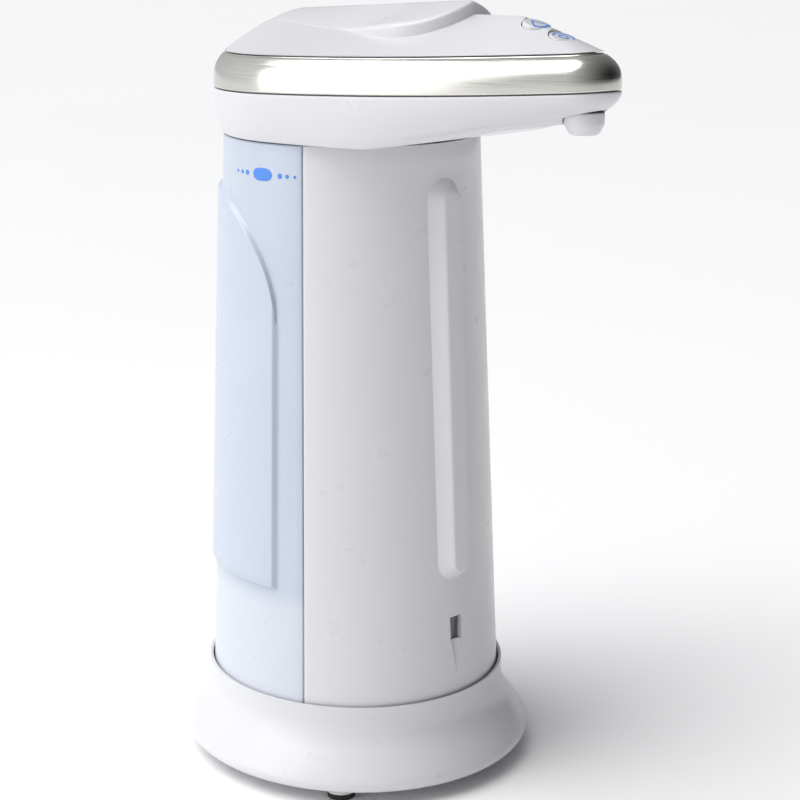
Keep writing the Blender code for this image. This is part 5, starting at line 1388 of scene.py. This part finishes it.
class DISPENSER_OT_prints(bpy.types.Operator):
    """Lay the printed signs on the keys and the fill marks on the tank"""
    bl_idname = "dispenser.prints"
    bl_label = "Printed marks"

    def execute(self, context):
        form = Form(context.scene)
        ink = look_for(context, "print_ink")
        for side in (1, -1):
            mark = self.fill_mark(form, side)
            settle(mark, HOUSING, ink, "tank_plastic")
        aim, forwards = key_places(form)
        drop = [(1.9 * math.sin(a) * (1 - math.cos(a)) / 1.3,
                 -1.9 * math.cos(a)) for a in spread(0.0, 2 * math.pi, 33)]
        wave = [(-2.6, 1.2), (-1.4, 2.1), (0.0, 2.4), (1.4, 2.1), (2.6, 1.2)]
        circle = [(1.0 * math.cos(a), 1.0 * math.sin(a)) for a in spread(0.0, 2 * math.pi, 33)]
        outer = [(2.3 * math.cos(a), 2.3 * math.sin(a)) for a in spread(-2.6, 0.9, 25)]
        for body, forward, strokes in (("power_button", forwards[0], (drop, wave)),
                                       ("tone_button", forwards[1], (circle, outer))):
            top = form.at(0, forward, form.dome_z(0, forward)) - aim * 0.1 * MM
            for n, stroke in enumerate(strokes):
                sign = self.stroke("%s_sign_%d" % (body, n + 1), stroke, 0.42, aim, top)
                settle(sign, body, ink, "white_plastic")
        return {"FINISHED"}

    def stroke(self, name, path, width, aim, top):
        """A thin raised line along (x, forward) points on the plane whose normal is aim."""
        down = Vector((0, -aim.z, aim.y))
        rings = []
        for i, point in enumerate(path):
            before, after = Vector(path[max(i - 1, 0)]), Vector(path[min(i + 1, len(path) - 1)])
            step = (after - before).normalized()
            across = Vector((-step.y, step.x)) * width / 2
            ring = []
            for side, lift in ((1, 0.05), (-1, 0.05), (-1, -0.08), (1, -0.08)):
                u, v = Vector(point) + across * side
                ring.append(top + Vector((1, 0, 0)) * u * MM + down * v * MM + aim * lift * MM)
            rings.append(ring)
        return outward(skin(name, [flat_ring(rings[0])] + rings + [flat_ring(rings[-1])],
                            sharp=30.0))

    def fill_mark(self, form, side):
        """A pill with dots that grow smaller to each side."""
        shapes = [(0.0, 3.0, 1.5)]
        for n, radius in enumerate((0.62, 0.5, 0.38)):
            shapes += [(5.2 + 2.0 * n, radius, radius), (-5.2 - 2.0 * n, radius, radius)]
        z0 = FILL_MARK_Z
        middle = FILL_MARK_AZIMUTH
        pieces = []
        for across, half_w, half_h in shapes:
            bulge = 0.6 if half_w > half_h else 1.0
            ring = []
            for i in range(32):
                a = 2 * math.pi * i / 32
                u = across + half_w * math.copysign(abs(math.cos(a)) ** bulge, math.cos(a))
                ring.append((u * MM, z0 + half_h * MM * math.sin(a)))
            rings = []
            for share, proud in ((0.0, 0.07), (0.5, 0.07), (0.96, 0.07), (1.0, 0.03), (1.0, -0.1)):
                row = []
                for u, z in ring:
                    uu = blend(across * MM, u, share)
                    zz = blend(z0, z, share)
                    azimuth = side * (middle + uu / form.column_half(zz)[0])
                    row.append(form.column_point(azimuth, zz, proud * MM))
                rings.append(row)
            pieces.append(skin("dot", rings, sharp=60.0))
        bpy.ops.object.select_all(action="DESELECT")
        for piece in pieces:
            piece.select_set(True)
        bpy.context.view_layer.objects.active = pieces[0]
        bpy.ops.object.join()
        pieces[0].name = "fill_mark_left" if side > 0 else "fill_mark_right"
        return outward(pieces[0])


# ---------------------------------------------------------------- carried-over pieces

class DISPENSER_OT_inner(bpy.types.Operator):
    """Give every CAD piece that is still shown its own finish"""
    bl_idname = "dispenser.inner"
    bl_label = "Inner pieces"

    def execute(self, context):
        slots = {entry["node"]: entry["material_slot"] for entry in frame["record"]["subparts"]}
        for node, piece in frame["nodes"].items():
            look = look_for(context, slots[node])
            if not piece.material_slots:
                piece.data.materials.append(look)
            for slot in piece.material_slots:
                slot.material = look
        return {"FINISHED"}


# ---------------------------------------------------------------- studio

class DISPENSER_OT_stage(bpy.types.Operator):
    """Set the floor, the lights and the camera"""
    bl_idname = "dispenser.stage"
    bl_label = "Studio"

    def execute(self, context):
        scene = context.scene
        stage = scene.dispenser_stage
        self.floor(context)
        self.camera(scene, stage)
        self.lights(scene, stage)
        scene.view_settings.view_transform = "Standard"
        return {"FINISHED"}

    def floor(self, context):
        """A wide flat floor under the object."""
        bpy.ops.object.select_all(action="DESELECT")
        bpy.ops.mesh.primitive_plane_add(size=12.0)
        floor = bpy.context.object
        floor.name = "studio_floor"
        look = Look("studio_floor", 0.6)
        tone = tuple(context.scene.dispenser_finish.floor)
        look.colour(look.ramp(look.noise(3.0, 2.0),
                              ((0.3, shade(tone, 0.995)), (0.7, shade(tone, 1.005)))))
        floor.data.materials.append(look.material)

    def facing(self, stage):
        """Level directions to the right of the view and away from the viewer."""
        return (Vector((math.cos(stage.azimuth), -math.sin(stage.azimuth), 0)),
                Vector((math.sin(stage.azimuth), math.cos(stage.azimuth), 0)))

    def camera(self, scene, stage):
        """The camera, at the front left and looking a little down."""
        side, away = self.facing(stage)
        level = side * math.sin(stage.aim_turn) + away * math.cos(stage.aim_turn)
        aim = level * math.cos(stage.elevation) - Vector((0, 0, math.sin(stage.elevation)))
        data = bpy.data.cameras.new("camera")
        data.lens = stage.lens
        data.sensor_width = 36.0
        data.clip_start = 0.01
        camera = bpy.data.objects.new("camera", data)
        scene.collection.objects.link(camera)
        camera.location = CAMERA_PLACE
        camera.rotation_euler = aim.to_track_quat("-Z", "Y").to_euler()
        scene.camera = camera

    def light(self, scene, name, place, target, size, power):
        """A soft rectangular light aimed at a point."""
        data = bpy.data.lights.new(name, "AREA")
        data.shape = "RECTANGLE"
        data.size, data.size_y = size
        data.energy = power
        lamp = bpy.data.objects.new(name, data)
        scene.collection.objects.link(lamp)
        lamp.location = place
        lamp.rotation_euler = (Vector(target) - Vector(place)).to_track_quat("-Z", "Y").to_euler()

    def lights(self, scene, stage):
        """The key light, a soft sun and the sky."""
        side, away = self.facing(stage)
        up = Vector((0, 0, 1))
        heart = Vector((0, 0, 0.1))
        self.light(scene, "key", heart - side * 0.75 - away * 0.35 + up * 0.35, heart, (0.6, 0.8),
                   stage.key_power)
        data = bpy.data.lights.new("sun", "SUN")
        data.energy = stage.sun_power
        data.angle = SUN_SPREAD
        sun = bpy.data.objects.new("sun", data)
        scene.collection.objects.link(sun)
        fall = side * 0.45 + away * 0.15 - up
        sun.rotation_euler = fall.to_track_quat("-Z", "Y").to_euler()
        self.sky(scene, stage, side)

    def sky(self, scene, stage, side):
        """An even sky that is brighter at the left of the view than at its right."""
        world = bpy.data.worlds.new("studio")
        world.use_nodes = True
        tree = world.node_tree
        back = tree.nodes["Background"]
        place = tree.nodes.new("ShaderNodeTexCoord")
        across = tree.nodes.new("ShaderNodeVectorMath")
        across.operation = "DOT_PRODUCT"
        across.inputs[1].default_value = tuple(-side)
        tree.links.new(place.outputs["Generated"], across.inputs[0])
        level = tree.nodes.new("ShaderNodeMapRange")
        for socket, number in (("From Min", -1.0), ("From Max", 1.0), ("To Min", stage.sky_right),
                               ("To Max", stage.sky_left)):
            level.inputs[socket].default_value = number
        tree.links.new(across.outputs["Value"], level.inputs["Value"])
        tree.links.new(level.outputs["Result"], back.inputs["Strength"])
        back.inputs["Color"].default_value = SKY_TONE
        scene.world = world


# ---------------------------------------------------------------- panel and registration

STEPS = (DISPENSER_OT_foot, DISPENSER_OT_cover, DISPENSER_OT_tank, DISPENSER_OT_head,
         DISPENSER_OT_dome,
         DISPENSER_OT_lid, DISPENSER_OT_spout, DISPENSER_OT_keys, DISPENSER_OT_prints,
         DISPENSER_OT_inner,
         DISPENSER_OT_stage)

GROUPS = {"dispenser_column": DISPENSER_PG_column, "dispenser_foot": DISPENSER_PG_foot,
          "dispenser_head": DISPENSER_PG_head, "dispenser_lid": DISPENSER_PG_lid,
          "dispenser_finish": DISPENSER_PG_finish, "dispenser_stage": DISPENSER_PG_stage}


class DISPENSER_PT_panel(bpy.types.Panel):
    """Sizes, colours and steps of the dispenser"""
    bl_label = "Soap dispenser"
    bl_idname = "DISPENSER_PT_panel"
    bl_space_type = "VIEW_3D"
    bl_region_type = "UI"
    bl_category = "Dispenser"

    def draw(self, context):
        for name in GROUPS:
            values = getattr(context.scene, name)
            box = self.layout.box()
            box.label(text=name.replace("dispenser_", "").title())
            for key in values.bl_rna.properties.keys():
                if key not in ("rna_type", "name"):
                    box.prop(values, key)
        for step in STEPS:
            self.layout.operator(step.bl_idname)


def register():
    for kind in (*GROUPS.values(), *STEPS, DISPENSER_PT_panel):
        bpy.utils.register_class(kind)
    for name, kind in GROUPS.items():
        setattr(bpy.types.Scene, name, PointerProperty(type=kind))


def unregister():
    for name in GROUPS:
        delattr(bpy.types.Scene, name)
    for kind in reversed((*GROUPS.values(), *STEPS, DISPENSER_PT_panel)):
        bpy.utils.unregister_class(kind)


def main():
    register()
    for step in STEPS:
        group, name = step.bl_idname.split(".")
        getattr(getattr(bpy.ops, group), name)()


if __name__ == "__main__":
    main()
